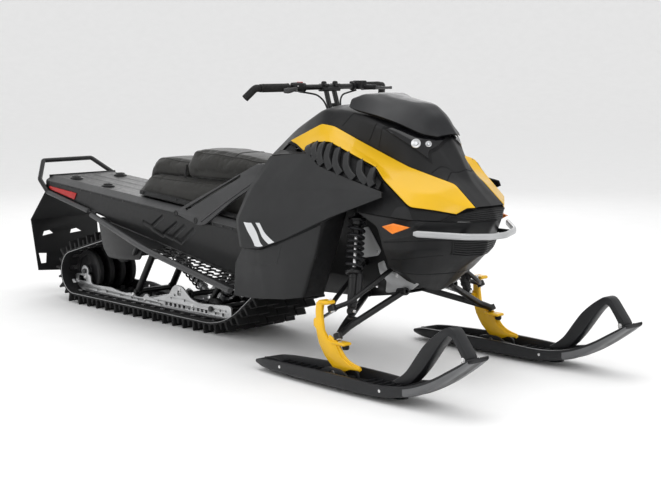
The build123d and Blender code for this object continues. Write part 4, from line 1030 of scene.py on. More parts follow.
def addLamps(lamp):
    net = bodyNets["console"]
    bowls, bulbs = [], []
    for (u, v), radius in lamp["bowls"]:
        e = 0.05
        place, ahead, aside = (onNet(net, np.array([a]), np.array([b]), 0.22)[0] for a, b in ((u, v), (u + e, v), (u, v + e)))
        out = unit(np.cross(aside - place, ahead - place))
        out *= np.sign(out[0])
        place = place + out * 4.6
        profile = [(-4, radius * 1.02), (0.4, radius * 1.04), (1.2, radius), (1.0, radius * 0.9),
                   (-0.6, radius * 0.72), (-1.6, radius * 0.5), (-1.8, radius * 0.42)]
        bowls.append(latheShape(profile, place, out, 28))
        # pale dome in each bowl: a reflector whose light grey is partly a painted highlight
        dome = [(-2.5, radius * 0.42), (0.6, radius * 0.4), (1.8, radius * 0.28), (2.2, 0.01)]
        bulbs.append(latheShape(dome, place, out, 20))
    cover = onPanel("console", lamp["head"], 3.2, (36, 36))
    for side, ending in ((1, "Left"), (-1, "Right")):
        piece = addPiece("headLens" + ending, metres(sided(cover, side)), finishes["smoke"], "sled", "clear_lens", closed=False, sharp=40.0)
        thicken(piece, 2.6, 1.0)
        if side > 0:
            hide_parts("headlamps")
    ambers = [lensShape(lamp["amber"], lamp["amberOut"], 4.0, 7.0, 1.4)]
    tails = [lensShape(lamp["tail"], (0, 1, 0), -1.2, 3.6, 1.2)]
    rows = (
        ("headBowl", bowls, "rail", "clear_lens", ()),
        ("headBulb", bulbs, "bulb", "clear_lens", ()),
        ("sideMarker", ambers, "amber", "amber_lens", ("side_markers",)),
        ("tailLamp", tails, "red", "red_lens", ("tail_lights",)),
    )
    for name, shapes, finish, slot, nodes in rows:
        for side in (1, -1):
            shape = metres(sided(joined(shapes), side))
            ending = "Left" if side > 0 else "Right"
            addPiece(name + ending, shape, finishes[finish], "sled", slot, nodes, sharp=30.0)


addLamps(lampShapes)


def slatPatches(panel, rows, sides, count, share, lift):
    # level bars between two rows of a net, each taking a share of its pitch
    pitch = (rows[1] - rows[0]) / count
    patches = []
    for k in range(count):
        high = rows[0] + pitch * (k + (1 - share) / 2)
        low = high + pitch * share
        patches.append(onPanel(panel, [(high, sides[0]), (high, sides[1]), (low, sides[1]), (low, sides[0])], lift, (60, 4)))
    return patches


grilles = {
    # panel, rows, columns, bars, share of the pitch, how far they stand out
    "upperGrille": ("nose", (0.1, 0.95), (3.0, 7.0), 5, 0.5, 2.6),
    "lowerGrille": ("belly", (1.32, 2.06), (3.5, 6.5), 6, 0.5, 2.6),
}


def addGrilles(setup):
    for name, (panel, rows, sides, count, share, lift) in setup.items():
        back = [onPanel(panel, [(rows[0], sides[0]), (rows[0], sides[1]), (rows[1], sides[1]), (rows[1], sides[0])], 0.5, (60, 6))]
        addOverlay(name + "Back", back, "mesh", "black_plastic", 0.4, 0.0, both=False)
        addOverlay(name + "Bars", slatPatches(panel, rows, sides, count, share, lift), "sidePlastic", "black_plastic", 2.2, 0.7, both=False)
        (a, b), (c, d), w = rows, sides, 0.06
        frame = [
            onPanel(panel, [(a - w, c - w), (a - w, d + w), (a, d), (a, c)], lift + 1.0, (60, 3)),
            onPanel(panel, [(b, c), (b, d), (b + w, d + w), (b + w, c - w)], lift + 1.0, (60, 3)),
            onPanel(panel, [(a - w, c - w), (a, c), (b, c), (b + w, c - w)], lift + 1.0, (3, 12)),
            onPanel(panel, [(a, d), (a - w, d + w), (b + w, d + w), (b, d)], lift + 1.0, (3, 12)),
        ]
        addOverlay(name + "Frame", frame, "nosePlastic", "black_plastic", 2.6, 0.6, both=False)


addGrilles(grilles)

bumper = {
    "line": ((190, 256, 550), (326, 138, 541), (366, 40, 536), (366, -40, 536), (326, -138, 541), (190, -256, 550)),
    "wide": 15.0, "high": 23.0,
}
bumperPath = smoothPath(bumper["line"], 90, 0.2)
bumperEnds = np.interp(np.linspace(0, 1, 90), [0, 0.02, 0.98, 1], [0.55, 1, 1, 0.55])
addPiece(
    "frontBumper", metres(sweepShape(bumperPath, roundBox(bumper["wide"], bumper["high"], 7.0, 4), (0, 0, 1), scale=bumperEnds)),
    finishes["silver"], "sled", "silver_paint", ("front_bumper",),
)
stubs = [sweepShape(np.linspace((338, y, 540), (262, y, 540), 6), circle(8, 14), (0, 0, 1)) for y in (100, -100)]
addPiece("bumperStubs", metres(joined(stubs)), finishes["frame"], "sled", "frame_black")
print("lamps, grilles and bumper")

# ---- front suspension and steering knuckles

stance = 430.0
kingLow, kingHigh = np.array([-20.0, stance - 10, 175.0]), np.array([-66.0, stance - 24.3, 268.0])
kingAxis = unit(kingHigh - kingLow)
spindleBodies = ("left_spindle", "right_spindle")
skiBodies = ("left_ski", "right_ski")

frontArms = {
    # ball, tube radius, eye radius, legs as elbow and foot, foot bush length
    "lower_arm": (kingLow, 12.4, 16.0, (((-30, 352, 202), (22, 122, 311)), ((-60, 352, 200), (-170, 122, 282))), 44.0),
    "upper_arm": (kingHigh, 8.9, 16.0, (((-32, 352, 288), (8, 122, 420)), ((-112, 352, 286), (-184, 122, 397))), 34.0),
}


def addArms(setup):
    for node, (ball, tube, eye, legs, bush) in setup.items():
        half = 11.0
        cup = [(-half, eye * 0.55), (-half, eye - 1.5), (-half + 1.5, eye), (half - 1.5, eye), (half, eye - 1.5), (half, eye * 0.55)]
        shapes = [latheShape(cup + [cup[0]], ball, kingAxis, 28)]
        for elbow, foot in legs:
            start = ball + unit(np.array(elbow) - ball) * (eye * 0.7)
            shapes.append(tubeShape([start, elbow, foot], tube, 36, 16, 0.22))
            barrel = [(-bush / 2, 7), (-bush / 2, tube + 1), (-bush / 2 + 2, tube + 2.4), (bush / 2 - 2, tube + 2.4), (bush / 2, tube + 1), (bush / 2, 7)]
            centre = np.array(foot) + np.array([0, tube * 0.9, -2.0])
            shapes.append(latheShape(barrel + [barrel[0]], centre, (1, 0, 0.18), 20))
        if node == "lower_arm":
            shapes.append(boxShape((-72, 307, 205), (-18, 329, 229), 3))
            shapes.append(boxShape((-68, 309, 226), (-60, 327, 246), 2))
        pairOf(node.replace("_arm", "Arm"), joined(shapes), "frame", ("sled",), "frame_black", (node,), sharp=34)
    balls = []
    for ball in (kingLow, kingHigh):
        pin = [(-13.5, 0.01), (-13.5, 7.5), (-11.5, 8.8), (11.5, 8.8), (13.5, 7.5), (13.5, 0.01)]
        balls.append(latheShape(pin, ball, kingAxis, 18))
    pairOf("armBall", joined(balls), "steel", ("sled",), "bare_aluminium")


addArms(frontArms)

frontShock = {
    "foot": (-56.0, 318.0, 250.0), "top": (-112.0, 232.0, 606.0),
    "coilFrom": 150.0, "turns": 7.5, "coilRadius": 28.0, "wire": 5.2, "steps": 22,
}


def addShocks(setup):
    foot, top = np.array(setup["foot"]), np.array(setup["top"])
    axis = unit(top - foot)
    long = float(np.linalg.norm(top - foot))
    aside = unit(np.cross(axis, (0, 1.0, 0)))
    other = np.cross(axis, aside)
    a = np.linspace(0, setup["turns"] * 2 * math.pi, int(setup["turns"] * setup["steps"]))
    # coil: a circle walked while climbing, its first and last turns nearly closed
    climb = a / a[-1]
    climb = climb + 0.03 * np.sin(2 * math.pi * climb)
    start, end = setup["coilFrom"], long - 46
    height = start + (end - start) * climb
    coil = foot + axis * height[:, None] + setup["coilRadius"] * (np.cos(a)[:, None] * aside + np.sin(a)[:, None] * other)
    spring = sweepShape(coil, circle(setup["wire"], 10), axis)
    body = [
        (8, 0.01), (8, 13), (14, 17), (26, 17), (28, 20.5), (36, 20.5), (37, 18.6), (120, 18.6), (121, 20.6), (128, 20.6),
        (129, 18.6), (134, 18.6), (135, 31), (138, 33.4), (146, 33.4), (148, 24), (158, 19), (160, 9), (160, 0.01),
    ]
    lid = [
        (long - 92, 0.01), (long - 92, 12), (long - 84, 15), (long - 60, 15), (long - 52, 22), (long - 42, 24),
        (long - 41, 32), (long - 34, 33.4), (long - 30, 31), (long - 24, 16), (long - 12, 13), (long - 8, 9), (long - 8, 0.01),
    ]
    ring = [(-12, 5), (-12, 13.5), (-10.5, 15), (10.5, 15), (12, 13.5), (12, 5)]
    eyes = [latheShape(ring + [ring[0]], place, (1, 0, 0), 22) for place in (foot, top)]
    damper = joined([latheShape(body, foot, axis, 28), latheShape(lid, foot, axis, 28), *eyes])
    rods = joined([
        latheShape([(150, 0.01), (150, 7), (long - 60, 7), (long - 60, 0.01)], foot, axis, 18),
        *[latheShape([(-19, 0.01), (-19, 6), (-14, 7.5), (-13, 4.4), (13, 4.4), (14, 7.5), (19, 6), (19, 0.01)], p, (1, 0, 0), 12) for p in (foot, top)],
    ])
    tank = latheShape([(-46, 0.01), (-46, 9), (-42, 12.5), (38, 12.5), (42, 10), (42, 0.01)], foot + axis * 92 + np.array([26, -6, 6]), axis, 22)
    pairOf("shockBody", damper, "frame", ("sled",), "frame_black", ("shock",), sharp=30)
    pairOf("shockCoil", spring, "cowlPlastic", ("sled",), "frame_black")
    pairOf("shockRod", rods, "steel", ("sled",), "bare_aluminium")
    pairOf("shockTank", tank, "wheel", ("sled",), "frame_black")


addShocks(frontShock)

knuckle = {
    "web": (
        (-60, 299), (-100, 299), (-117, 288), (-120, 262), (-117, 236), (-131.7, 226), (-131.7, 202), (-117, 190), (-104, 143),
        (-72, 98), (-34, 68), (-16, 42), (10, 37), (22, 54), (60, 68), (106, 71), (106, 79), (54, 87), (14, 108),
        (-8, 140), (-20, 156), (-58, 162), (-82, 190), (-90, 236), (-90, 262), (-86, 282), (-60, 286),
    ),
    "rim": ((-106, 286), (-112, 262), (-110, 236), (-110, 194), (-97, 150), (-67, 106), (-30, 76), (-6, 60)),
}


def addKnuckles(setup):
    # the web is a rounded plate; a broader rim follows its rear edge, hook and shelf reach inwards
    web = plateShape(setup["web"], stance, 15.0, 3.0)
    line = np.array([(x, stance, z) for x, z in setup["rim"]], float)
    rim = sweepShape(smoothPath(line, 40, 0.5), roundBox(22.0, 13.0, 3.0), (0, 1, 0))
    line = np.array([(-56, stance, 168), (-16, stance, 152), (6, stance, 122), (30, stance, 98), (62, stance, 84), (104, stance, 76)], float)
    toe = sweepShape(smoothPath(line, 36, 0.5), roundBox(21.0, 7.0, 2.5), (0, 1, 0), scale=np.linspace(1.0, 0.9, 36))
    hook = boxShape((-106, stance - 33, 286), (-56, stance + 10, 298.5), 3)
    shelf = boxShape((-42, stance - 31, 147), (30, stance + 10, 158), 3)
    arm = boxShape((-131, stance - 24, 203), (-104, stance + 3, 225), 3)
    body = joined([web, rim, toe, hook, shelf, arm])
    pairOf("knuckle", body, "knuckle", spindleBodies, "knuckle_yellow", ("spindle",), sharp=34)
    stop = latheShape([(-15, 0.01), (-15, 10), (-10, 13), (-2, 13), (0, 11), (0, 0.01)], (18, stance - 12, 147), (0, 0, 1), 18)
    pairOf("knuckleStop", stop, "rubber", spindleBodies, "grip_rubber")
    nuts = joined([
        latheShape([(0, 0.01), (0, 10), (6, 10), (7, 7), (12, 7), (13, 4), (13, 0.01)], kingHigh + kingAxis * 24, kingAxis, 6),
        latheShape([(0, 0.01), (0, 10), (-6, 10), (-8, 6), (-8, 0.01)], kingLow - kingAxis * 22, kingAxis, 6),
        latheShape([(-40, 0.01), (-40, 9), (-34, 9.5), (-33, 7.8), (33, 7.8), (34, 9.5), (40, 9), (40, 0.01)], (0, stance, 52), (0, 1, 0), 16),
    ])
    pairOf("knuckleNuts", nuts, "steel", spindleBodies, "bare_aluminium", sharp=20)


addKnuckles(knuckle)

tieRod = {"out": (-140.0, 411.0, 214.0), "in": (-130.7, 70.0, 330.9), "radius": 5.8}


def addTieRods(setup):
    out, inner = np.array(setup["out"]), np.array(setup["in"])
    axis, long = unit(inner - out), float(np.linalg.norm(inner - out))
    r = setup["radius"]
    profile = [(6, 0.01), (6, 5), (12, 7.2), (34, 7.2), (36, r), (long - 2, r), (long, 3), (long, 0.01)]
    ball = [(-8, 0.01), (-7.6, 2.6), (-6, 5.3), (-3.4, 7.2), (0, 7.9), (3.4, 7.2), (6, 5.3), (7.6, 2.6), (8, 0.01)]
    shape = joined([latheShape(profile, out, axis, 18), latheShape(ball, out, axis, 18)])
    pairOf("tieRod", shape, "steel", ("left_tie_rod", "right_tie_rod"), "frame_black", ("tie_rod",))


addTieRods(tieRod)
print("front suspension")

# ---- skis

ski = {
    # x, half width, underside, rim, rise of the underside to the edge
    "rows": (
        (-410, 46, 22, 40, 4), (-350, 60, 9, 54, 8), (-150, 75, 7, 60, 10), (0, 80, 7, 64, 10), (150, 82, 7, 62, 10),
        (280, 80, 9, 58, 10), (400, 76, 34, 76, 9), (500, 68, 82, 114, 7), (600, 60, 150, 174, 5), (650, 52, 188, 204, 3),
    ),
    "wall": 13.0, "floor": 15.0, "stations": 90,
    "ribFrom": -320.0, "ribTo": 430.0, "ribPitch": 34.0,
}


def skiRow(u):
    return hats(len(ski["rows"]), u, 0.45) @ np.array(ski["rows"], float)


def skiSection(rows):
    # one ring per station: keel bulge, flank, rounded rim, channel wall and channel floor
    x, half, low, high, edge = rows.T
    ends = np.clip(np.minimum((x + 400) / 40, (600 - x) / 60), 0, 1)
    wall = ski["wall"] + (half - ski["wall"] - 4) * (1 - ends)
    floor = low + ski["floor"] + (high - low - ski["floor"] - 1.0) * (1 - ends)
    right = [
        (0 * x, low), (0.3 * half, low), (0.62 * half, low + edge * 0.25), (half - 5, low + edge * 0.8),
        (half - 1, low + edge + 3), (half, low + edge + 8), (half, high - 9), (half + 0 * x, high - 4), (half - 1.5, high - 1.2),
        (half - 4, high), (half - wall + 3, high), (half - wall + 0.6, high - 1.4), (half - wall - 0.5, high - 4),
        (half - wall - 3, floor + 3), (half - wall - 6, floor), (0.3 * (half - wall), floor), (0 * x, floor),
    ]
    right = np.array(right).transpose(2, 0, 1)
    left = right[:, -2:0:-1] * np.array([-1.0, 1.0])
    ring = np.concatenate([right, left], 1)
    return np.concatenate([np.repeat(x[:, None, None], ring.shape[1], 1), ring[:, :, :1] + stance, ring[:, :, 1:]], 2)


def addSkis(setup):
    rows = skiRow(np.linspace(0, len(setup["rows"]) - 1, setup["stations"]))
    rings = skiSection(rows)
    count = rings.shape[1]
    deck = capped((rings.reshape(-1, 3), gridQuads(len(rings), count, False, True)), len(rings), count)
    keelLine = [(-330, stance, 19), (-300, stance, 11.6), (0, stance, 11.6), (290, stance, 11.6), (330, stance, 21)]
    keel = sweepShape(smoothPath(keelLine, 40, 0.3), roundBox(16.0, 22.0, 4.0), (0, 0, 1))
    saddle = [plateShape(rounded(((-74, 22), (-66, 58), (-26, 70), (26, 70), (66, 56), (74, 22)), 60, 0.3), stance + y, 10.0, 2.0) for y in (-28, 28)]
    pairOf("ski", joined([deck, keel, *saddle]), "ski", skiBodies, "ski_plastic", ("ski",), sharp=30)
    x = np.arange(setup["ribFrom"], setup["ribTo"], setup["ribPitch"])
    x = x[np.abs(x - 10) > 84]
    table = np.array(setup["rows"], float)
    ribs = []
    for place in x:
        half, low = (float(np.interp(place, table[:, 0], table[:, k])) for k in (1, 2))
        reach, foot = half - setup["wall"] - 5, low + setup["floor"] - 1
        ribs.append(boxShape((place - 2.4, stance - reach, foot), (place + 2.4, stance + reach, foot + 17), 1.0))
    spine = [boxShape((a, stance - 4, foot), (b, stance + 4, foot + 12), 1.5) for a, b, foot in ((-330, -80, 21), (86, 300, 21))]
    pairOf("skiRibs", joined(ribs + spine), "ski", skiBodies, "ski_plastic", flat=True)
    blocks = ((-58, -20, 21, 24, 40), (-26, 34, 21, 22, 31), (30, 64, 21, 24, 44), (58, 104, 19, 24, 37))
    bolster = [boxShape((a, stance - half, low), (b, stance + half, high), 4) for a, b, half, low, high in blocks]
    pairOf("skiBolster", joined(bolster), "grip", skiBodies, "grip_rubber")
    nose = rings[rows[:, 0] > 372][:, 1:7]
    nose = nose + np.array([0, 0.4, -0.9])
    sheet = facing((nose.reshape(-1, 3), gridQuads(nose.shape[0], nose.shape[1])), (500, stance, 400))
    inside = facing((sheet[0] * np.array([1, -1, 1]) + np.array([0, 2 * stance, 0]), sheet[1][:, ::-1]), (500, stance, 400))
    pairOf("skiNose", joined([sheet, inside]), "pale", skiBodies, "ski_plastic", closed=False)
    places = [(278, stance + 78, 42), (-250, stance + 66, 38)]
    inner = [(x, 2 * stance - y, z) for x, y, z in places]
    studs = joined([studShape(places, (0, 1, 0), 6, 3.6), studShape(inner, (0, -1, 0), 6, 3.6)])
    pairOf("skiStuds", studs, "steel", skiBodies, "bare_aluminium")


addSkis(ski)

skiLoop = {
    "outer": ((268, 60), (318, 88), (352, 116), (392, 170), (430, 218), (478, 258), (526, 289), (546, 291), (562, 284), (594, 244),
              (627, 203), (626, 190), (612, 175)),
    "inner": ((594, 181), (599, 196), (578, 226), (556, 254), (546, 261), (534, 260), (500, 226), (470, 186), (432, 136), (394, 94),
              (358, 64)),
    "half": 25.0,
}


def addSkiLoops(setup):
    outline = rounded(setup["outer"] + setup["inner"], 150, 0.42)
    strap = plateShape(outline, stance, 2 * setup["half"], 4.5)
    pairOf("skiLoop", strap, "ski", skiBodies, "ski_plastic", ("ski_loop",), sharp=36)
    # pale facets along the outside of the strap: a painted highlight
    line = [(330, 98), (356, 120), (394, 172), (432, 219), (480, 258), (520, 284)]
    x, z = smoothPath([(a, 0, b) for a, b in line], 40, 0.5)[:, [0, 2]].T
    band = np.stack([np.stack([x, stance + s + 0 * x, z + 0.9], 1) for s in (-15, 0, 15)], 1)
    highlightBand = facing((band.reshape(-1, 3), gridQuads(40, 3)), (480, stance, 100))
    for side, ending, body in ((1, "Left", "left_ski"), (-1, "Right", "right_ski")):
        piece = addPiece("skiLoopFacet" + ending, metres(sided(highlightBand, side)), finishes["sidePlastic"], body, "ski_plastic", closed=False)
        thicken(piece, 1.2, 0.4)
    studs = joined([studShape([(606, stance + s * 25.5, 192)], (0, s, 0), 6, 3.2) for s in (1, -1)])
    pairOf("skiLoopStuds", studs, "steel", skiBodies, "bare_aluminium")


addSkiLoops(skiLoop)
print("skis")

# ---- track, wheels and rails

trackLine = {
    # wheel centre x and z, inner radius of the belt, first and last angle of its arc in degrees
    "floor": 48.0, "approachAngle": 38.0, "approachRadius": 380.0,
    "sprocket": (-757.0, 318.0, 88.0), "carrier": (-1735.0, 290.0, 60.0), "idler": (-2080.0, 148.0, 100.0),
    "band": 8.0, "lug": 39.7, "pitch": 73.0, "half": 190.5,
}


def tangentAngle(first, second):
    # direction of the normal where a belt over the outside leaves one wheel for the next
    run = math.atan2(second[1] - first[1], second[0] - first[0])
    span = math.hypot(second[0] - first[0], second[1] - first[1])
    return run - math.pi / 2 + math.asin((first[2] - second[2]) / span)


def beltLine(setup, offset, count):
    # arcs round the wheels joined by straight runs, then even steps along the whole loop
    a = math.radians(setup["approachAngle"])
    sprocket, carrier, idler = (setup[k] for k in ("sprocket", "carrier", "idler"))
    rise = setup["approachRadius"] * (1 - math.cos(a))
    touch = (sprocket[0] + sprocket[2] * math.sin(a), sprocket[1] - sprocket[2] * math.cos(a))
    straight = (touch[1] - setup["floor"] - rise) / math.sin(a)
    start = touch[0] - straight * math.cos(a) - setup["approachRadius"] * math.sin(a)
    over, down = tangentAngle(sprocket, carrier) % (2 * math.pi), tangentAngle(carrier, idler) % (2 * math.pi)
    arcs = (
        (start, setup["floor"] + setup["approachRadius"], setup["approachRadius"], -math.pi / 2, a - math.pi / 2),
        (*sprocket, a - math.pi / 2, over),
        (*carrier, over, down),
        (*idler, down, 1.5 * math.pi),
    )
    line = []
    for x, z, r, first, last in arcs:
        turn = np.linspace(first, last, 40)
        line.append(np.stack([x + (r + offset) * np.cos(turn), 0 * turn, z + (r + offset) * np.sin(turn)], 1))
    line = np.concatenate(line + [line[0][:1]])
    length = np.concatenate([[0], np.cumsum(np.linalg.norm(np.diff(line, axis=0), axis=1))])
    even = np.linspace(0, length[-1], count, endpoint=False)
    return np.stack([np.interp(even, length, line[:, k]) for k in range(3)], 1)


def blockTemplate(long, wide, low, high, taper, corner=2.0):
    # small block with tapered flanks: rings of eight points, later set at each station
    rings = []
    for out, size, trim in ((low, 1.0, 0), (high - 1.6, taper, 0), (high, taper, 1.6)):
        ring = roundBox(long * size - trim, wide - trim - (1 - size) * 4, corner, 1)
        rings.append(np.column_stack([ring, np.full(len(ring), out)]))
    return capped((np.concatenate(rings), gridQuads(3, len(ring), False, True)), 3, len(ring))


def setAlong(template, places, run, out, y):
    # copies of a template: its axes along the run, across and outwards
    points, quads = template
    across = np.array([0.0, 1.0, 0.0])
    copies = (
        places[:, None] + run[:, None] * points[None, :, :1] + across * (points[None, :, 1:2] + y)
        + out[:, None] * points[None, :, 2:]
    )
    shifts = np.arange(len(places))[:, None, None] * len(points)
    return copies.reshape(-1, 3), (quads[None] + shifts).reshape(-1, 4)


def addTrack(setup):
    band, half = setup["band"], setup["half"]
    line = beltLine(setup, band / 2, 420)
    strips = []
    for low, high in ((-half, -136.0), (-106.0, 106.0), (136.0, half)):
        ring = roundBox(band, high - low, 2.4, 2) + np.array([0.0, (low + high) / 2])
        strips.append(sweepShape(line, ring, (0, 1, 0), closed=True))
    length = np.linalg.norm(np.roll(line, -1, 0) - line, axis=1).sum()
    count = 2 * round(length / setup["pitch"])
    stations = beltLine(setup, band, count)
    run = unit(np.roll(stations, -1, 0) - np.roll(stations, 1, 0))
    out = np.cross((0, 1.0, 0), run)
    bridges = [setAlong(blockTemplate(38, 34, -band + 0.6, -0.6, 1.0), stations, run, out, y) for y in (-121, 121)]
    addPiece("trackBelt", metres(joined(strips + bridges)), finishes["rubber"], "sled", "track_rubber", ("track",))
    lugs = []
    for phase, y, wide in (
        (0, -163, 54), (0, -102, 60), (0, 102, 60), (0, 163, 54), (1, -35, 66), (1, 35, 66), (1, -170, 38), (1, 170, 38),
    ):
        block = blockTemplate(15, wide, -2.0, setup["lug"] * (1.0 if wide > 40 else 0.62), 0.62)
        lugs.append(setAlong(block, stations[phase::2], run[phase::2], out[phase::2], y))
        foot = blockTemplate(26, wide, -2.0, 5.0, 0.7)
        lugs.append(setAlong(foot, stations[phase::2], run[phase::2], out[phase::2], y))
    addPiece("trackLugs", metres(joined(lugs)), finishes["rubber"], "sled", "track_rubber", flat=True)
    drive = [setAlong(blockTemplate(18, 24, -band + 0.5, -band - 20, 0.7), stations[1::2], run[1::2], out[1::2], y) for y in (-35, 35)]
    addPiece("trackDrivers", metres(joined(drive)), finishes["rubber"], "sled", "track_rubber", flat=True)
    clips = [setAlong(blockTemplate(20, 40, -band - 2.2, -band + 0.2, 1.0), stations[::2], run[::2], out[::2], y) for y in (-121, 121)]
    addPiece("trackClips", metres(joined(clips)), finishes["steel"], "sled", "bare_aluminium", flat=True)
    # thin light metal strips along the inner edges of the belt: a painted highlight on its edges
    edgeHighlights = [sweepShape(beltLine(setup, -0.4, 420), roundBox(2.2, 1.8, 0.6, 1) + np.array([0, y]), (0, 1, 0), closed=True) for y in (-189.8, 189.8)]
    addPiece("beltEdgeHighlights", metres(joined(edgeHighlights)), finishes["rail"], "sled", "track_rubber")


addTrack(trackLine)

wheelSets = {
    # x, z, radius, places across, half of the axle, spokes, tyre width
    "rear_wheels": (-2080.0, 148.0, 99.7, (-92, -32, 32, 92), 133.8, 7, 24.0),
    "carrier_wheels": (-1735.0, 290.0, 59.7, (-140, 140), 193.0, 5, 24.0),
    "rail_wheels": (-1120.0, 92.6, 44.0, (-96, 96), 133.8, 5, 24.0),
    "drive_axle": (-757.0, 318.0, 87.7, (-70, 70), 201.5, 8, 24.0),
}


def wheelShapes(x, z, radius, places, axle, spokes, width):
    h = width / 2
    rubber, plastic, metal = [], [], []
    for y in places:
        centre = (x, y, z)
        tyre = [(-h, radius - 13), (-h, radius - 3.5), (-h + 3, radius), (h - 3, radius), (h, radius - 3.5), (h, radius - 13)]
        rim = [(-h + 1.5, radius - 22), (-h + 1.5, radius - 12), (h - 1.5, radius - 12), (h - 1.5, radius - 22), (4, radius - 25), (-4, radius - 25)]
        hub = [(-h - 1, 12.2), (-h - 1, 20), (-h + 3, 25), (h - 3, 25), (h + 1, 20), (h + 1, 12.2)]
        rubber.append(latheShape(tyre + [tyre[0]], centre, (0, 1, 0), 56))
        plastic.append(latheShape(rim + [rim[0]], centre, (0, 1, 0), 56))
        plastic.append(latheShape(hub + [hub[0]], centre, (0, 1, 0), 28))
        web = [(-2.5, 20), (-2.5, radius - 20), (2.5, radius - 20), (2.5, 20)]
        plastic.append(latheShape(web + [web[0]], centre, (0, 1, 0), 40))
        for turn in np.linspace(0, 2 * math.pi, spokes, endpoint=False):
            way = np.array([math.cos(turn), 0, math.sin(turn)])
            line = np.array(centre) + way * np.linspace(22, radius - 20, 4)[:, None]
            plastic.append(sweepShape(line, roundBox(width - 7, 6.0, 2.0, 2), (0, 1, 0) if spokes else (0, 0, 1)))
        metal.append(latheShape([(-h - 2.5, 0.01), (-h - 2.5, 17), (-h - 1, 18), (h + 1, 18), (h + 2.5, 17), (h + 2.5, 0.01)], centre, (0, 1, 0), 24))
    bar = [(-axle, 0.01), (-axle, 9), (-axle + 2, 11.6), (axle - 2, 11.6), (axle, 9), (axle, 0.01)]
    return joined(rubber), joined(plastic), joined(metal + [latheShape(bar, (x, 0, z), (0, 1, 0), 22)])


for node, row in wheelSets.items():
    rubber, plastic, metal = wheelShapes(*row)
    label = node.replace("_", ".")
    addPiece(label + ".tyres", metres(rubber), finishes["rubber"], "sled", "track_rubber", sharp=30)
    addPiece(label + ".discs", metres(plastic), finishes["wheel"], "sled", "wheel_plastic", (node,), sharp=30)
    addPiece(label + ".axle", metres(metal), finishes["arm"], "sled", "bare_aluminium", sharp=30)

rails = {
    "half": 120.0, "thickness": 8.0,
    "outline": (
        (-2080, 50), (-1180, 49), (-1030, 54), (-985, 64), (-985, 122), (-1110, 112), (-1205, 106), (-1262, 118), (-1318, 160),
        (-1340, 166), (-1372, 166), (-1394, 152), (-1420, 118), (-1470, 106), (-1560, 84), (-1580, 98), (-1596, 98), (-1616, 80), (-1666, 78),
        (-1720, 90), (-1740, 84), (-1800, 86), (-1867, 96), (-2010, 90), (-2030, 100), (-2036, 138), (-2160, 132), (-2160, 94), (-2130, 66),
    ),
    # x, z, width, height; a width of nothing is a round hole of that radius
    "holes": (
        (-1345, 132, 24, 20), (-1440, 74, 17, 15), (-1408, 74, 17, 15), (-1376, 74, 17, 15), (-1344, 74, 17, 15), (-1312, 74, 17, 15),
        (-1276, 72, 0, 5), (-1244, 74, 0, 6), (-1212, 76, 14, 13), (-1184, 76, 14, 13), (-1156, 76, 14, 13),
        (-1700, 68, 14, 10), (-1900, 72, 14, 10), (-1652, 64, 0, 4), (-1560, 66, 0, 4), (-1500, 80, 0, 4), (-1480, 64, 0, 5), (-1404, 104, 0, 4),
        (-1376, 120, 0, 5), (-1790, 68, 0, 4), (-1976, 70, 0, 5), (-1110, 92, 0, 4), (-1090, 76, 0, 5), (-1060, 92, 0, 5), (-1040, 76, 12, 14),
        (-1020, 94, 9, 12), (-1306, 104, 0, 5),
        (-2104, 112, 62, 24),
    ),
    "tubes": ((-1600, 70), (-1250, 86)),
}


def addRails(setup):
    holes = [ringAt(x, z, high) if wide == 0 else squareAt(x, z, wide, high) for x, z, wide, high in setup["holes"]]
    plate = plateShape(rounded(setup["outline"], 240, 0.3), setup["half"], setup["thickness"], 1.0, holes)
    disc = [(-4.5, 12), (-4.5, 27), (-3.5, 28), (3.5, 28), (4.5, 27), (4.5, 12)]
    parts = [plate, latheShape(disc + [disc[0]], (-2080, setup["half"], 148), (0, 1, 0), 36)]
    pairOf("slideRail", joined(parts), "rail", ("sled",), "bare_aluminium")
    tubes = [latheShape([(-115.8, 0.01), (-115.8, 12), (115.8, 12), (115.8, 0.01)], (x, 0, z), (0, 1, 0), 24) for x, z in setup["tubes"]]
    addPiece("railTubes", metres(joined(tubes)), finishes["rail"], "sled", "bare_aluminium", ("slide_rails",))
    line = [(-2096, setup["half"], 52), (-1190, setup["half"], 52), (-1040, setup["half"], 57), (-978, setup["half"], 70)]
    glide = sweepShape(smoothPath(line, 60, 0.3), roundBox(15.0, 7.0, 1.6, 2), (0, 0, 1))
    bolts = [studShape([(x, setup["half"] + s * 4, z)], (0, s, 0), 6.5, 4.5) for s in (1, -1) for x, z in ((-1340, 150), (-1600, 70), (-1250, 86), (-1690, 84), (-2080, 120))]
    pairOf("railGlide", glide, "wheel", ("sled",), "wheel_plastic")
    pairOf("railBolts", joined(bolts), "steel", ("sled",), "bare_aluminium", sharp=20)


addRails(rails)

rearArms = {
    "tubes": (
        # start, end, radius
        ((-1560, 96, 293), (-1690, 96, 96), 15.5), ((-1560, -96, 293), (-1690, -96, 96), 15.5),
        ((-1560, -193.5, 293), (-1560, 193.5, 293), 13.6), ((-1690, -115.5, 96), (-1690, 115.5, 96), 11.6),
        ((-1300, -115.5, 130), (-1300, 115.5, 130), 11.6),
        ((-1010, 70, 330), (-1200, 70, 96), 12.6), ((-1010, -70, 330), (-1200, -70, 96), 12.6),
        ((-1010, -201.4, 330), (-1010, 201.4, 330), 11.6), ((-1200, -115.5, 96), (-1200, 115.5, 96), 11.6),
        ((-1578, -96, 262), (-1578, 96, 262), 9.0), ((-1050, -70, 282), (-1050, 70, 282), 8.0),
    ),
    "dampers": (((-1560, 0, 293), (-1300, 0, 130)), ((-1010, 0, 330), (-1200, 0, 96))),
}


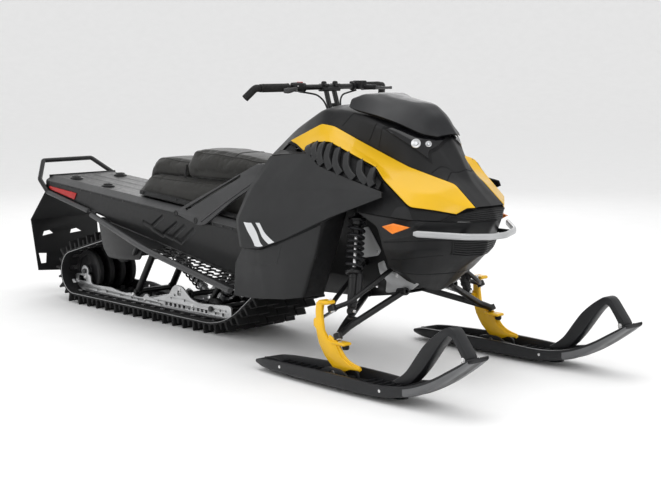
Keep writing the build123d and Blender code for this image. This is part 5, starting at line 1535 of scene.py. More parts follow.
def addRearArms(setup):
    tubes = []
    for start, end, radius in setup["tubes"]:
        start, end = np.array(start, float), np.array(end, float)
        long = np.linalg.norm(end - start)
        profile = [(0, 0.01), (0, radius * 0.8), (2, radius), (long - 2, radius), (long, radius * 0.8), (long, 0.01)]
        tubes.append(latheShape(profile, start, end - start, 22))
    addPiece("swingArms", metres(joined(tubes)), finishes["frame"], "sled", "frame_black", ("rear_suspension", "front_suspension"))
    bodies, coils = [], []
    for start, end in setup["dampers"]:
        start, end = np.array(start, float), np.array(end, float)
        axis, long = unit(end - start), float(np.linalg.norm(end - start))
        bodies.append(latheShape([(0, 0.01), (0, 16), (26, 18), (28, 21.5), (34, 21.5), (36, 9), (long * 0.5, 9), (long * 0.5, 18),
                                  (long - 40, 18), (long - 38, 21.5), (long - 30, 21.5), (long - 28, 16), (long, 14), (long, 0.01)], start, axis, 24))
        a = np.linspace(0, 8 * 2 * math.pi, 8 * 18)
        aside = np.array([0, 1.0, 0])
        other = np.cross(axis, aside)
        line = start + axis * (38 + (long - 82) * a / a[-1])[:, None] + 25.0 * (np.cos(a)[:, None] * aside + np.sin(a)[:, None] * other)
        coils.append(sweepShape(line, circle(4.2, 8), axis))
    addPiece("rearDampers", metres(joined(bodies)), finishes["cast"], "sled", "bare_aluminium")
    addPiece("rearCoils", metres(joined(coils)), finishes["frame"], "sled", "frame_black")
    blocks = []
    for x, z, r in ((-1560, 293, 24), (-1690, 96, 20), (-1300, 130, 19), (-1200, 96, 18), (-1010, 330, 20)):
        for y in (-104, 104):
            profile = [(-7, 13), (-7, r - 2), (-5, r), (5, r), (7, r - 2), (7, 13)]
            blocks.append(latheShape(profile + [profile[0]], (x, y * (0.9 if abs(x + 1560) > 1 else 1.0), z), (0, 1, 0), 24))
    addPiece("armBearings", metres(joined(blocks)), finishes["wheel"], "sled", "wheel_plastic")


addRearArms(rearArms)
print("track, wheels and rails")

# ---- tunnel, boards, bar and flap

tunnel = {
    "half": 205.0, "topZ": 503.0, "slope": 0.071, "refX": -1246.0, "chamferDrop": 20.0, "chamferWide": 35.0, "sheet": 3.0,
    "rearX": -2262.0, "frontX": -560.0,
    "feet": ((-2262, 521), (-1760, 432), (-1740, 408), (-560, 222.6)),
    # pressed ribs on the side: x and z of the lower end and of the upper end
    "ribs": (
        ((-1349, 396), (-1248, 456)), ((-1425, 418), (-1349, 396)), ((-1284, 390), (-1198, 446)), ((-1334, 402), (-1284, 390)),
        ((-1221, 377), (-1133, 438)), ((-1268, 389), (-1221, 377)), ((-1431, 424), (-1352, 474)), ((-1486, 440), (-1431, 424)),
    ),
    "ribHalf": 10.0, "ribDeep": 4.5,
    "hanger": ((-1850, 446), (-1480, 384), (-1525, 268), (-1590, 262), (-1700, 254), (-1770, 256), (-1810, 300)),
    "anchors": (-2130.0, -1870.0), "anchorY": 125.0,
}


def tunnelTop(x):
    return tunnel["topZ"] + (tunnel["refX"] - x) * tunnel["slope"]


def ribDepth(x, z, setup):
    # how far the side is pressed in: smooth steps about each slanted rib's centre line
    depth = np.zeros_like(x)
    for (x0, z0), (x1, z1) in setup["ribs"]:
        run = np.array([x1 - x0, z1 - z0], float)
        long = np.linalg.norm(run)
        run /= long
        along = (x - x0) * run[0] + (z - z0) * run[1]
        aside = np.abs(-(x - x0) * run[1] + (z - z0) * run[0])
        inside = np.clip((setup["ribHalf"] - aside) / 5.0, 0, 1) * np.clip((along + 9) / 5.0, 0, 1) * np.clip((long + 9 - along) / 5.0, 0, 1)
        depth = np.maximum(depth, inside)
    return depth * setup["ribDeep"]


def addTunnel(setup):
    x = np.concatenate([np.linspace(setup["rearX"], -1500, 60), np.linspace(-1496, -1080, 140), np.linspace(-1070, setup["frontX"], 50)])
    feet = np.array(setup["feet"], float)
    foot, top = np.interp(x, feet[:, 0], feet[:, 1]), tunnelTop(x)
    v = np.linspace(0, 1, 70)
    z = foot[:, None] + (top - foot)[:, None] * v
    grid = np.broadcast_to(x[:, None], z.shape)
    swell = 2.2 * np.clip((v - 0.06) / 0.03, 0, 1) * np.clip((0.94 - v) / 0.03, 0, 1)
    y = setup["half"] - 0.4 - 2.2 + swell[None] * 1.0 - ribDepth(grid, z, setup) + 0 * z
    side = facing((np.stack([grid, y, z], -1).reshape(-1, 3), gridQuads(len(x), 70)), (-1300, 0, 400))
    for way, ending in ((1, "Left"), (-1, "Right")):
        piece = addPiece("tunnelSide" + ending, metres(sided(side, way)), finishes["tunnel"], "sled", "tunnel_paint", closed=False, sharp=26)
        thicken(piece, setup["sheet"], 0.8)
    edge = np.stack([
        np.stack([x, np.full_like(x, setup["half"] - 0.6), top - 4], 1), np.stack([x, np.full_like(x, setup["half"] - 0.2), top], 1),
        np.stack([x, np.full_like(x, setup["half"] - setup["chamferWide"]), top + setup["chamferDrop"]], 1),
        np.stack([x, np.full_like(x, setup["half"] - setup["chamferWide"] - 5), top + setup["chamferDrop"] + 0.2], 1),
    ], 1)
    chamfer = facing((edge.reshape(-1, 3), gridQuads(len(x), 4)), (-1300, 0, 400))
    for way, ending in ((1, "Left"), (-1, "Right")):
        piece = addPiece("tunnelChamfer" + ending, metres(sided(chamfer, way)), finishes["tunnelEdge"], "sled", "tunnel_paint", closed=False, sharp=26)
        thicken(piece, setup["sheet"], 0.8)
    half = setup["half"] - setup["chamferWide"] - 5
    across = np.linspace(-half, half, 61)
    # long shallow swages along the top
    press = 1.6 * sum(np.clip((26 - np.abs(across - c)) / 4.0, 0, 1) for c in (-78.0, 0.0, 78.0))
    tx = x[x < -700]
    fade = np.clip((tx - setup["rearX"] - 60) / 10, 0, 1) * np.clip((-720 - tx) / 10, 0, 1)
    lid = np.stack([
        np.broadcast_to(tx[:, None], (len(tx), 61)), np.broadcast_to(across, (len(tx), 61)),
        (tunnelTop(tx) + setup["chamferDrop"])[:, None] - fade[:, None] * press[None],
    ], -1)
    cover = facing((lid.reshape(-1, 3), gridQuads(len(tx), 61)), (-1300, 0, 400))
    piece = addPiece("tunnelTop", metres(cover), finishes["tunnel"], "sled", "tunnel_paint", ("tunnel",), closed=False, sharp=20)
    thicken(piece, setup["sheet"], 0.8)
    hanger = plateShape(rounded(setup["hanger"], 90, 0.25), setup["half"] - 7.5, 9.0, 1.0)
    pairOf("tunnelHanger", hanger, "frame", ("sled",), "tunnel_paint")
    pucks, slots = [], []
    for place in setup["anchors"]:
        for y in (-setup["anchorY"], setup["anchorY"]):
            puck = [(-1, 0.01), (-1, 31), (3, 31), (6, 27), (7, 22), (12, 21), (13.5, 18), (13.5, 12), (9, 10.5), (9, 0.01)]
            centre = (place, y, tunnelTop(place) + setup["chamferDrop"])
            pucks.append(latheShape(puck, centre, (0, 0, 1), 36))
            slots.append(boxShape((place - 16, y - 3, centre[2] + 9), (place + 16, y + 3, centre[2] + 12.5), 1))
    addPiece("loadAnchors", metres(joined(pucks + slots)), finishes["wheel"], "sled", "black_plastic", sharp=30)
    rivetX = np.concatenate([np.arange(-2230, -1640, 84.0), np.arange(-1000, -640, 60.0)])
    places = [(a, setup["half"] - 1.0, tunnelTop(a) - 10) for a in rivetX]
    low = [(a, setup["half"] - 1.0, float(np.interp(a, feet[:, 0], feet[:, 1])) + 16) for a in np.arange(-2200, -1900, 84.0)]
    pairOf("tunnelRivets", studShape(places + low, (0, 1, 0), 3.4, 2.0, 8), "arm", ("sled",), "tunnel_paint")
    rear = [
        (setup["rearX"] - 4, y, z) for y, z in (
            (-setup["half"] + 1, 523), (-setup["half"] + 1, tunnelTop(setup["rearX"]) - 1), (-166, tunnelTop(setup["rearX"]) + 19),
            (166, tunnelTop(setup["rearX"]) + 19), (setup["half"] - 1, tunnelTop(setup["rearX"]) - 1), (setup["half"] - 1, 523),
        )
    ]
    hem = sweepShape(smoothPath(rear, 80, 0.12), roundBox(6.0, 6.0, 2.0, 2), (1, 0, 0))
    addPiece("tunnelHem", metres(hem), finishes["frame"], "sled", "tunnel_paint")


addTunnel(tunnel)

footBoard = {
    "z": 253.0, "slope": 0.157, "refX": -690.0, "thickness": 3.0,
    "outline": ((-1868, 206), (-1300, 320), (-702, 354), (-702, 206)),
    "tube": ((-1880, 212), (-1300, 335), (-690, 370)), "tubeRadius": 12.0,
    "rows": ((230, 50, 26), (268, 52, 30), (304, 50, 24)),
    "pitch": 68.0, "from": -1290.0, "to": -740.0,
}


def boardTop(x):
    return footBoard["z"] + (footBoard["refX"] - x) * footBoard["slope"]


def addBoards(setup):
    holes = []
    for k, (y, long, wide) in enumerate(setup["rows"]):
        for x in np.arange(setup["from"] + (k % 2) * setup["pitch"] / 2, setup["to"], setup["pitch"]):
            if y + wide / 2 < 316 + (x + 1300) * 0.05:
                holes.append(squareAt(x, y, long, wide, 5.0))
    points, quads = plateShape(setup["outline"], 0.0, setup["thickness"], 0.8, holes)
    x, lift, y = points.T
    tray = np.stack([x, y, boardTop(x) - setup["thickness"] / 2 + lift], 1), quads[:, ::-1]
    teeth = []
    for k, (row, long, wide) in enumerate(setup["rows"]):
        for x in np.arange(setup["from"] + (k % 2) * setup["pitch"] / 2, setup["to"], setup["pitch"]):
            for s in (-1, 1):
                y = row + s * (wide / 2 + 1.6)
                if y < 318 + (x + 1300) * 0.05:
                    teeth.append(boxShape((x - long * 0.36, y - 1.0, boardTop(x) - 4), (x + long * 0.36, y + 1.0, boardTop(x) + 2.5), 0.8))
    pairOf("footBoard", joined([tray, *teeth]), "frame", ("sled",), "frame_black", ("running_board",), flat=True)
    line = [(x, y, boardTop(x)) for x, y in setup["tube"]]
    tube = tubeShape(line, setup["tubeRadius"], 70, 20, 0.2)
    lip = [(x, y - 14, boardTop(x) + 2) for x, y in setup["tube"]]
    skirt = sweepShape(smoothPath(lip, 70, 0.2), roundBox(12.0, 5.0, 1.5, 2), (0, 0, 1))
    pairOf("boardTube", joined([tube, skirt]), "arm", ("sled",), "frame_black")
    # bracket down to the hanger and toe stop at the front
    stay = tubeShape([(-1560, 208, 293), (-1500, 236, 330), (-1440, 270, 352)], 9.0, 24, 14, 0.4)
    toe = plateShape(((-760, 262), (-704, 258), (-704, 420), (-722, 420), (-752, 330)), 236.0, 44.0, 4.0)
    pairOf("boardStay", joined([stay, toe]), "frame", ("sled",), "frame_black")


addBoards(footBoard)

frameArm = {
    "outline": ((-1255, 505), (-1080, 462), (-1035, 470), (-847, 588), (-640, 690), (-640, 748), (-700, 742)),
    "slot": ((-1168, 527), (-1160, 520), (-880, 648), (-800, 684), (-804, 692), (-884, 656)),
    "rib": ((-1060, 482), (-960, 540), (-860, 596), (-700, 680)),
    "bolts": ((-1233, 502), (-1098, 482)),
}


def addFrameArms(setup):
    y = tunnel["half"] + 7.3
    plate = plateShape(rounded(setup["outline"], 120, 0.14), y, 14.0, 2.5, [setup["slot"]])
    line = [(x, y + 7.2, z) for x, z in setup["rib"]]
    bead = sweepShape(smoothPath(line, 40, 0.4), roundBox(6.0, 9.0, 2.0, 2), (0, 1, 0))
    pairOf("frameArm", joined([plate, bead]), "tunnelEdge", ("sled",), "tunnel_paint", ("frame_arm",))
    discs = [latheShape([(-1, 0.01), (-1, 13), (2, 13), (3, 11), (3, 8.5), (1.4, 7.5), (1.4, 0.01)], (x, y + 6.4, z), (0, 1, 0), 28) for x, z in setup["bolts"]]
    pairOf("frameArmBolts", joined(discs), "frame", ("sled",), "frame_black", sharp=25)


addFrameArms(frameArm)

grabBar = {"low": ((-1900, 216.5, 457), (-2238, 216.5, 520), (-2306, 216.5, 577), (-2398, 138, 657)), "radius": 10.8}


def addGrabBar(setup):
    low = [np.array(p, float) for p in setup["low"]]
    split = low[0] + (low[1] - low[0]) * 0.97
    rightSide = [p * np.array([1, -1, 1]) for p in [split, *low[1:]]]
    path = rightSide + [split, *low[1:]][::-1]
    hoop = []
    for a, b in zip(path, path[1:]):
        long = np.linalg.norm(b - a)
        hoop += [a, a + (b - a) * min(18 / long, 0.45), b - (b - a) * min(18 / long, 0.45)]
    hoop = tubeShape(hoop + [path[-1]], setup["radius"], 190, 20, 0.5, (0.2, 0, 1))
    addPiece("grabHoop", metres(hoop), finishes["frame"], "sled", "frame_black", ("grab_bar",))
    leg = [low[0] - (low[1] - low[0]) * 0.0, split]
    axis, long = leg[1] - leg[0], float(np.linalg.norm(leg[1] - leg[0]))
    shape = latheShape([(0, 0.01), (0, 7), (3, 10.6), (long, 10.9), (long, 0.01)], leg[0], axis, 22)
    pairOf("grabLeg", shape, "tunnelEdge", ("sled",), "tunnel_paint")


addGrabBar(grabBar)

flap = {
    "line": ((600, -2267.6), (560, -2267.6), (370, -2444), (112, -2400)),   # z and x down the flap
    "lower": ((-190, 370), (190, 370), (181, 122), (60, 112), (-60, 112), (-181, 122)),
    "upper": ((-190, 370), (-188, 560), (188, 560), (190, 370)),
    "lip": ((-188, 560), (-188, 600), (188, 600), (188, 560)),
    "slots": (
        ((-136, 286), (-75, 294), (-93, 310), (-126, 306)), ((22, 286), (89, 291), (62, 307), (30, 303)),
        ((-169, 204), (-124, 200), (-133, 154), (-162, 154)), ((169, 204), (124, 200), (133, 154), (162, 154)),
    ),
    "ribs": ((-160, 222, 160), (-160, 246, 160), (-110, 140, 110)),
    "thickness": 5.0,
}


def addFlap(setup):
    line = np.array(setup["line"], float)[::-1]

    def folded(shape):
        points, quads = shape
        y, lift, z = points.T
        x = np.interp(z, line[:, 0], line[:, 1])
        run = np.interp(z + 0.5, line[:, 0], line[:, 1]) - np.interp(z - 0.5, line[:, 0], line[:, 1])
        normal = unit(np.stack([-np.ones_like(run), 0 * run, run], 1))
        return facing((np.stack([x, y, z], 1) - normal * (setup["thickness"] / 2 - lift * -1.0)[:, None], quads), (-2000, 0, 300))

    t = setup["thickness"]
    plates = [
        plateShape(setup["lower"], 0.0, t, 0.8, setup["slots"]), plateShape(setup["upper"], 0.0, t, 0.8), plateShape(setup["lip"], 0.0, t, 0.8),
    ]
    ribs = [plateShape(((a, z - 3), (b, z - 3), (b, z + 3), (a, z + 3)), -t * 0.6, 3.0, 0.8) for a, z, b in setup["ribs"]]
    addPiece("snowFlap", metres(joined([folded(s) for s in plates + ribs])), finishes["shellPlastic"], "sled", "black_plastic", ("snow_flap",))


addFlap(flap)
soften("engine", "cast", edge=3.0)
soften("front_frame", "frame", edge=1.2)

frontPlates = {
    "y": 115.5, "thickness": 5.0,
    # silver castings bolted to the side plates: outlines and bolt places, x and z
    "upper": ((-199, 526), (-172, 531), (-105, 447), (-120, 427), (-187, 412), (-221, 416)),
    "lower": (
        (-123, 397), (-90, 412), (-72, 376), (26, 367), (90, 343), (55, 318), (-81, 289), (-75, 336), (-111, 359),
    ),
    "bolts": ((-196, 505), (-124, 440), (-215, 440), (-20, 362), (-95, 352)),
}


def addFrontPlates(setup):
    shapes = [
        plateShape(rounded(setup[key], 70, 0.16), setup["y"], setup["thickness"], 1.6) for key in ("upper", "lower")
    ]
    line = [(x, setup["y"] + 2.6, z) for x, z in ((-80, 356), (-56, 372), (-30, 364))]
    shapes.append(tubeShape(line, 3.0, 24, 10, 0.5))
    pairOf("frontPlate", joined(shapes), "silver", ("sled",), "silver_paint")
    places = [(x, setup["y"] + 2.2, z) for x, z in setup["bolts"]]
    pairOf("frontPlateBolts", studShape(places, (0, 1, 0), 4.4, 3.4), "steel", ("sled",), "bare_aluminium", sharp=20)


addFrontPlates(frontPlates)
print("tunnel, boards, bar and flap")

# ---- seat

seatForms = {
    # x, foot half, foot z, waist half, waist z, top half, top z, from the rear to the front
    "seatCushion": {
        "rows": (
            (-1293, 104, 641, 113, 694, 86, 724), (-1254, 114, 641, 123, 700, 97, 764), (-1110, 120, 643, 125, 706, 105, 766),
            (-935, 114, 645, 119, 702, 97, 754), (-801, 97, 656, 101, 690, 77, 735),
        ),
        "crown": 4.0, "round": 16.0, "node": "seat_cushion", "fill": 0.8, "core": (-1050, 0, 700),
    },
    "seatTier": {
        "rows": (
            (-1621, 127, 550, 131, 566, 109, 573), (-1541, 164, 545, 166, 572, 121, 637), (-1289, 166, 527, 168, 560, 127, 637),
            (-831, 149, 497, 149, 570, 111, 643),
        ),
        "crown": 1.0, "round": 9.0, "node": "seat_tier", "fill": 0.7, "core": (-1250, 0, 580),
    },
    "seatBolster": {
        "rows": (
            (-1619, 63, 595, 67, 611, 43, 625), (-1580, 83, 623, 87, 656, 58, 686), (-1541, 97, 641, 101, 680, 68, 710),
            (-1475, 99, 641, 103, 684, 76, 717), (-1296, 99, 641, 103, 680, 80, 711),
        ),
        "crown": 2.0, "round": 12.0, "node": "seat_bolster", "fill": 0.8, "core": (-1450, 0, 660),
    },
}
puffing = {"voxel": 0.0055, "pressure": 4.0, "frames": 16, "cap": 0.006}


def seatShape(form):
    # closed cushion: six-cornered rings with soft corners, drawn in at both ends by a quarter circle
    rows = np.asarray(form["rows"], float)
    count, soft = len(rows), form["round"]
    spread = np.linspace(0, count - 1, 90)
    table = hats(count, spread, 0.16) @ rows
    turn = np.linspace(0, math.pi / 2, 7)[:-1]
    x = np.concatenate([table[0, 0] + soft * (1 - np.cos(turn)), table[1:-1, 0], (table[-1, 0] - soft * (1 - np.cos(turn)))[::-1]])
    inset = np.concatenate([soft * (1 - np.sin(turn)), 0 * table[1:-1, 0], (soft * (1 - np.sin(turn)))[::-1]])
    order = np.argsort(x, kind="stable")
    x, inset = x[order], inset[order]
    keep = (inset > 0) | ((x > table[0, 0] + soft) & (x < table[-1, 0] - soft))
    x, inset = x[keep], inset[keep]
    wide = np.stack([np.interp(x, table[:, 0], table[:, k]) for k in range(1, 7)], 1)
    rings = []
    for place, (a, b, c, d, e, f), trim in zip(x, wide, inset):
        ring = rounded(((-a, b), (-c, d), (-e, f - form["crown"]), (0, f), (e, f - form["crown"]), (c, d), (a, b)), 84, 0.24)
        middle = np.array([0.0, (b + f) / 2])
        half = np.array([c, (f - b) / 2])
        ring = middle + (ring - middle) * np.maximum(1 - trim / half, 0.05)
        rings.append(np.column_stack([np.full(len(ring), place), ring]))
    shape = np.concatenate(rings), gridQuads(len(x), 84, False, True)
    return facing(capped(shape, len(x), 84), form["core"])


def puffed(pieces, setup):
    # the covers swell over their foam: remeshed, blown up a little by Cloth, each point's way capped
    scene = bpy.context.scene
    starts = {}
    for piece in pieces:
        mould = piece.modifiers.new("mould", "REMESH")
        mould.mode = "VOXEL"
        mould.voxel_size = setup["voxel"]
        old = piece.data
        view = piece.evaluated_get(bpy.context.evaluated_depsgraph_get())
        fine = bpy.data.meshes.new_from_object(view)
        piece.modifiers.clear()
        piece.data = fine
        bpy.data.meshes.remove(old)
        fine.name = piece.name
        start = np.zeros(len(fine.vertices) * 3, np.float32)
        fine.vertices.foreach_get("co", start)
        starts[piece] = start.reshape(-1, 3)
        cloth = piece.modifiers.new("cover", "CLOTH")
        cloth.settings.use_pressure = True
        cloth.settings.uniform_pressure_force = setup["pressure"]
        cloth.settings.effector_weights.gravity = 0
        cloth.settings.quality = 4
        cloth.point_cache.frame_end = setup["frames"]
    for step in range(1, setup["frames"] + 1):
        scene.frame_set(step)
    graph = bpy.context.evaluated_depsgraph_get()
    for piece in pieces:
        view = piece.evaluated_get(graph)
        moved = np.zeros(len(piece.data.vertices) * 3, np.float32)
        view.data.vertices.foreach_get("co", moved)
        way = moved.reshape(-1, 3) - starts[piece]
        far = np.linalg.norm(way, axis=1, keepdims=True)
        way *= np.minimum(1, setup["cap"] / np.maximum(far, 1e-9))
        piece.modifiers.clear()
        piece.data.vertices.foreach_set("co", (starts[piece] + way).ravel())
        piece.data.update()
        smoother = piece.modifiers.new("even", "SMOOTH")
        smoother.factor = 0.5
        smoother.iterations = 3
        dress(piece.data, 60.0, False)
    scene.frame_set(1)


def onSurface(piece, line, lift=0.0):
    # a line's points brought to the nearest place on a piece, then lifted along its normal
    tree = BVHTree.FromObject(piece, bpy.context.evaluated_depsgraph_get())
    points = []
    for place in at(line):
        found, normal, face, far = tree.find_nearest(Vector(place))
        points.append(np.array(found + normal * lift * mm))
    return (np.array(points) - np.array([boltX, 0, 0])) / mm


seatSeams = {
    "seatCushion": (
        ((-1284, 86, 735), (-1254, 98, 762), (-1110, 106, 765), (-935, 98, 753), (-815, 80, 738)),
        ((-1284, -86, 735), (-1254, -98, 762), (-1110, -106, 765), (-935, -98, 753), (-815, -80, 738)),
        ((-1254, -98, 764), (-1256, 0, 770), (-1254, 98, 764)),
        ((-990, -101, 760), (-990, 0, 766), (-990, 101, 760)),
    ),
    "seatTier": (
        ((-1535, 124, 634), (-1289, 129, 634), (-850, 114, 640)), ((-1535, -124, 634), (-1289, -129, 634), (-850, -114, 640)),
        ((-1541, -122, 640), (-1541, 0, 645), (-1541, 122, 640)),
    ),
    "seatBolster": (
        ((-1600, 56, 655), (-1541, 70, 709), (-1475, 78, 715), (-1310, 81, 709)),
        ((-1600, -56, 655), (-1541, -70, 709), (-1475, -78, 715), (-1310, -81, 709)),
        ((-1541, -70, 712), (-1541, 0, 716), (-1541, 70, 712)),
    ),
}


def addSeat():
    pads = {}
    for name, form in seatForms.items():
        pads[name] = addPiece(name, metres(seatShape(form)), finishes["vinyl"], "sled", "vinyl", (form["node"],), sharp=50.0)
    puffed(list(pads.values()), puffing)
    bpy.context.view_layer.update()
    pipes = []
    for name, lines in seatSeams.items():
        for line in lines:
            path = onSurface(pads[name], smoothPath(line, 90, 0.3), 0.6)
            pipes.append(sweepShape(smoothPath(path, 90, 0.5), circle(2.1, 8), (0, 0.2, 1)))
    addPiece("seatPiping", metres(joined(pipes)), finishes["vinyl"], "sled", "vinyl")
    trim = plateShape(rounded(((-1560, 556), (-1300, 540), (-850, 500), (-850, 520), (-1300, 562), (-1556, 578)), 90, 0.2), 170.0, 5.0, 1.5)
    pull = [latheShape([(-1, 0.01), (-1, 7), (2, 7), (3.5, 5), (3.5, 0.01)], (x, 172, z), (0, 1, 0), 20) for x, z in ((-1530, 566), (-1290, 552), (-900, 514))]
    pairOf("seatTrim", joined([trim, *pull]), "shellPlastic", ("sled",), "black_plastic")
    strap = tubeShape([(-1300, 104, 700), (-1306, 108, 668), (-1302, 112, 642)], 4.0, 20, 10, 0.5)
    pairOf("seatStrap", strap, "grip", ("sled",), "vinyl")


addSeat()
print("seat")

# ---- handlebar, controls and cables

barSetup = {
    "line": ((-511.8, 100, 1046), (-559.8, 342, 1045), (-589.8, 368, 1006)),
    "radius": 11.0, "gripFrom": (-531.6, 200, 1045.6), "gripTo": (-555.8, 322, 1045.1), "gripRadius": 16.5,
    "housing": (-515.3, 168, 1047.7),
}
columnSide = np.array([0.0, 1.0, 0.0])
columnFore = np.cross(columnSide, columnAxis)


def besideAxis(along, aside, fore, base=columnFoot):
    # a point given by its distances along the steering axis, to the side and to the front
    return base + columnAxis * along + columnSide * aside + columnFore * fore


def addBar(setup):
    half = [np.array(p, float) for p in setup["line"]]
    mirror = [p * np.array([1, -1, 1]) for p in half]
    path = smoothPath(mirror[::-1] + half, 220, 0.22)
    addPiece("barTube", metres(sweepShape(path, circle(setup["radius"], 22), (0.3, 0, 1))), finishes["frame"], "steering", "frame_black", ("handlebar",))
    ends = [half[2] - (half[2] - half[1]) * 0.06, half[2] + unit(half[2] - half[1]) * 1.0]
    plug = latheShape([(0, 0.01), (0, 13.5), (2, 15), (4, 13), (4.6, 0.01)], ends[0], ends[1] - ends[0], 20)
    pairOf("barPlug", plug, "grip", ("steering",), "grip_rubber")
    # the bare hooked end is wrapped as the grip is
    hook = smoothPath([half[1] + (half[0] - half[1]) * 0.07, half[1], half[2] - (half[2] - half[1]) * 0.05], 40, 0.3)
    pairOf("barHook", sweepShape(hook, circle(14.2, 20), (0.3, 0, 1)), "grip", ("steering",), "grip_rubber")
    start, end = np.array(setup["gripFrom"]), np.array(setup["gripTo"])
    long, axis = float(np.linalg.norm(end - start)), unit(end - start)
    s = np.linspace(0, long, 130)
    wave = np.where((s > 10) & (s < long - 8), 0.9 * np.sin(s / 5.6 * 2 * math.pi), 0.0)
    r = setup["gripRadius"] - 0.9 + wave
    r[s < 5] += 1.4
    profile = np.column_stack([s, r])
    profile = np.concatenate([[(0, 11.3)], profile, [(long, 11.3)]])
    pairOf("grip", latheShape(profile, start, axis, 32), "grip", ("steering",), "grip_rubber", ("grip",), sharp=50.0)


addBar(barSetup)


def addRiser():
    foot = 12.0
    block = [roundBox(36, 50, 5.0, 3) * (1 - k) for k in (0.12, 0.0, 0.0, 0.12)]
    levels = (-1.0, 1.5, 13.0, 15.5)
    rings = [
        np.array([besideAxis(foot + h - 4, p[1], p[0]) for p in ring]) for ring, h in zip(block, levels)
    ]
    base = capped((np.concatenate(rings), gridQuads(4, len(block[0]), False, True)), 4, len(block[0]))
    posts = []
    for side in (-1, 1):
        low, high = besideAxis(14, side * 17, 0), np.array([-508.0, side * 21, 1030.0])
        posts.append(sweepShape(smoothPath([low, (low + high) / 2 + np.array([0, side * 3.0, 0]), high], 24, 0.5), roundBox(15, 19, 5.0, 3), (1, 0, 0)))
    web = sweepShape(np.linspace(besideAxis(74, -26, 0), besideAxis(74, 26, 0), 6), roundBox(7, 15, 2.5, 3), (0, 0, 1))
    low = sweepShape(np.linspace((-511.8, -46, 1037), (-511.8, 46, 1037), 8), roundBox(30, 17, 5.0, 3), (0, 0, 1))
    caps = [sweepShape(np.linspace((-511.8, s * 30 - 13, 1053), (-511.8, s * 30 + 13, 1053), 6), roundBox(34, 11, 4.5, 3), (0, 0, 1)) for s in (-1, 1)]
    addPiece("riserFrame", metres(joined([base, *posts, web, low, *caps])), finishes["frame"], "steering", "frame_black", ("riser",))
    shaft = latheShape([(-96, 0.01), (-96, 16), (-94, 17), (2, 17), (6, 22), (9, 22), (9, 0.01)], columnFoot, columnAxis, 30)
    bolts = [studShape([(-511.8 + a, s * 30 + b, 1056.5)], (0, 0, 1), 3.8, 4.0) for s in (-1, 1) for a in (-11, 11) for b in (0,)]
    footBolts = [studShape([besideAxis(23.5, s * 19, f)], columnAxis, 3.4, 3.4) for s in (-1, 1) for f in (-11, 11)]
    addPiece("riserBolts", metres(joined([shaft, *bolts, *footBolts])), finishes["arm"], "steering", "frame_black", sharp=25.0)
    knobs = []
    for s in (-1, 1):
        profile = [(-8, 0.01), (-8, 8), (0, 8.5), (2, 10.5), (7, 10.5), (10.5, 8.5), (11.6, 5.5), (12.0, 0.01)]
        knobs.append(latheShape(profile, (-511.8, s * 30, 1056.5), (0, 0, 1), 24))
    addPiece("clampKnobs", metres(joined(knobs)), finishes["grip"], "steering", "grip_rubber")


addRiser()


def ringStack(centre, axis, rows, up=(0, 0, 1)):
    # rounded boxes of different sizes stacked along an axis and joined into one body
    axis = unit(np.asarray(axis, float))
    side = unit(np.cross(np.asarray(up, float), axis))
    top = np.cross(axis, side)
    rings = []
    for along, shiftSide, shiftTop, wide, high, corner in rows:
        ring = roundBox(wide, high, corner, 4)
        rings.append(np.asarray(centre) + axis * along + side * (ring[:, :1] + shiftSide) + top * (ring[:, 1:] + shiftTop))
    points = np.concatenate(rings)
    return capped((points, gridQuads(len(rows), len(ring), False, True)), len(rows), len(ring))


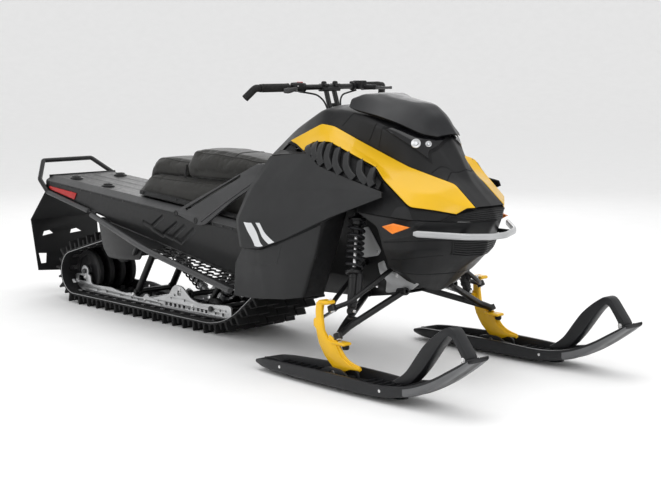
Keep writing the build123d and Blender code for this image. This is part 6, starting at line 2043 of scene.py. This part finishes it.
def addControls(setup):
    axis = unit(np.array(setup["line"][1], float) - np.array(setup["line"][0], float))
    house = np.array(setup["housing"])
    mirror = np.array([1, -1, 1.0])

    def clampRing(y):
        t = (y - setup["line"][0][1]) / (setup["line"][1][1] - setup["line"][0][1])
        place = np.array(setup["line"][0], float) * (1 - t) + np.array(setup["line"][1], float) * t
        profile = [(-7, 11.2), (-7, 15.5), (-5.5, 17), (5.5, 17), (7, 15.5), (7, 11.2)]
        return latheShape(profile + [profile[0]], place, axis, 26)

    # left: reservoir with a lid, its mount and the brake lever
    tank = ringStack(house + np.array([4, 0, 2]), axis, (
        (-25, 0, 0, 30, 26, 7), (-23, 0, 0, 36, 32, 8), (-6, 0, 1, 40, 36, 8), (12, 0, 1, 40, 36, 8), (22, 0, 0, 37, 33, 8), (24, 0, 0, 30, 26, 7),
    ))
    lid = ringStack(house + np.array([4, -2, 0]), (0, 0, 1), (
        (12, 0, 0, 40, 44, 6), (18.5, 0, 0, 40, 44, 6), (20.4, 0, 0, 36, 40, 6),
    ), (1, 0, 0))
    knuckle = house + np.array([44, 38, -6])
    tip = house + np.array([33, 148, -10])
    neck = sweepShape(smoothPath([house + np.array([8, 4, -4]), house + np.array([30, 22, -6]), knuckle], 20, 0.5), roundBox(22, 20, 6, 3), (0, 0, 1))
    lineLever = smoothPath([knuckle + np.array([-4, -6, 0]), knuckle + np.array([2, 14, -1]), (knuckle + tip) / 2 + np.array([3, 0, -2]), tip], 60, 0.4)
    fat = np.interp(np.linspace(0, 1, 60), [0, 0.08, 0.9, 1.0], [1.25, 1.0, 0.9, 1.05])
    lever = sweepShape(lineLever, roundBox(9.5, 12.5, 4.0, 3), (0, 0, 1), scale=fat)
    pin = latheShape([(-10, 0.01), (-10, 8), (-8.5, 9.5), (8.5, 9.5), (10, 8), (10, 0.01)], knuckle, (0, 0, 1), 22)
    switch = [
        ringStack(house + np.array([-12, -22, 6]), axis, ((-11, 0, 0, 22, 20, 5), (-9, 0, 0, 26, 24, 6), (9, 0, 0, 26, 24, 6), (11, 0, 0, 22, 20, 5))),
        latheShape([(0, 0.01), (0, 4.2), (3, 4.2), (4, 3), (4, 0.01)], house + np.array([-26, -22, 10]), (-1, 0, 0.3), 16),
    ]
    left = joined([tank, lid, neck, pin, clampRing(133), *switch])
    addPiece("brakeHousing", metres(left), finishes["shellPlastic"], "steering", "black_plastic", ("control_l",))
    addPiece("brakeLever", metres(lever), finishes["arm"], "steering", "black_plastic")
    screws = studShape([house + np.array([4 + a, -2 + b, 19.6]) for a in (-14, 14) for b in (-15, 15)], (0, 0, 1), 1.9, 1.2, 8)
    # right: throttle housing with its thumb lever and the stop switch
    body = ringStack(house, axis, (
        (-25, 0, 0, 26, 24, 8), (-22, 0, 0, 34, 32, 10), (-8, 0, 0, 38, 37, 12), (10, 0, 0, 38, 37, 12), (21, 0, 0, 34, 34, 10), (24, 0, 0, 28, 26, 8),
    ))
    pivot = house + np.array([28, 30, -6])
    thumb = smoothPath([house + np.array([10, 8, -8]), pivot, house + np.array([24, 56, -12]), house + np.array([13, 80, -13])], 40, 0.4)
    slope = np.interp(np.linspace(0, 1, 40), [0, 0.3, 0.8, 1.0], [0.8, 0.8, 1.3, 1.0])
    paddle = sweepShape(thumb, roundBox(8, 17, 3.6, 3), (0, 0, 1), scale=slope)
    post = ringStack(house + np.array([0, -14, 0]), (0, 0, 1), ((8, 0, 0, 24, 22, 7), (17.5, 0, 0, 22, 20, 7), (19, 0, 0, 18, 16, 6)), (1, 0, 0))
    addPiece("throttleHousing", metres(sided(joined([body, post, clampRing(133)]), -1)), finishes["shellPlastic"], "steering", "black_plastic", ("control_r",))
    addPiece("throttleLever", metres(sided(paddle, -1)), finishes["arm"], "steering", "black_plastic")
    cap = latheShape([(0, 0.01), (0, 11.4), (1.4, 12.0), (4.2, 12.0), (5.4, 10.6), (5.8, 0.01)], (house + np.array([0, -14, 14.6])) * mirror, (0, 0, 1), 24)
    addPiece("stopSwitch", metres(cap), finishes["red"], "steering", "red_lens")
    addPiece("housingScrews", metres(joined([screws, sided(studShape([house + np.array([19, b, 4]) for b in (-12, 12)], (1, 0, 0.2), 1.8, 1.0, 8), -1)])), finishes["steel"], "steering", "bare_aluminium", flat=True)


addControls(barSetup)

cables = {
    # route of the left cable in metres from the ski bolts; the right one is its mirror image
    "route": (
        (-0.5213, 0.154, 1.0297), (-0.5098, 0.1, 1.022), (-0.5078, 0.062, 1.014), (-0.4891, 0.033, 0.976), (-0.4624, 0.032, 0.894),
    ),
    "diameter": 0.007,
}


def addCables(setup):
    for side, ending in ((1, "Left"), (-1, "Right")):
        points = np.array(setup["route"]) * np.array([1, side, 1]) + np.array([boltX, 0, 0])
        curve = bpy.data.curves.new("cable" + ending, "CURVE")
        curve.dimensions = "3D"
        curve.bevel_depth = setup["diameter"] / 2
        curve.bevel_resolution = 4
        curve.use_fill_caps = True
        curve.resolution_u = 16
        curve.twist_mode = "MINIMUM"
        spline = curve.splines.new("NURBS")
        spline.points.add(len(points) - 1)
        spline.points.foreach_set("co", np.column_stack([points, np.ones(len(points))]).ravel())
        spline.order_u = 3
        spline.use_endpoint_u = True
        cable = bpy.data.objects.new("cable" + ending, curve)
        bpy.context.scene.collection.objects.link(cable)
        curve.materials.append(finishes["grip"])
        long = curveLength(cable)
        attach(cable, "steering")


def curveLength(cable):
    # length of the drawn line, read from the spline itself
    depth, cable.data.bevel_depth = cable.data.bevel_depth, 0.0
    line = bpy.data.meshes.new_from_object(cable)
    cable.data.bevel_depth = depth
    points = np.zeros(len(line.vertices) * 3)
    line.vertices.foreach_get("co", points)
    bpy.data.meshes.remove(line)
    return float(np.linalg.norm(np.diff(points.reshape(-1, 3), axis=0), axis=1).sum())


addCables(cables)
print("handlebar, controls and cables")
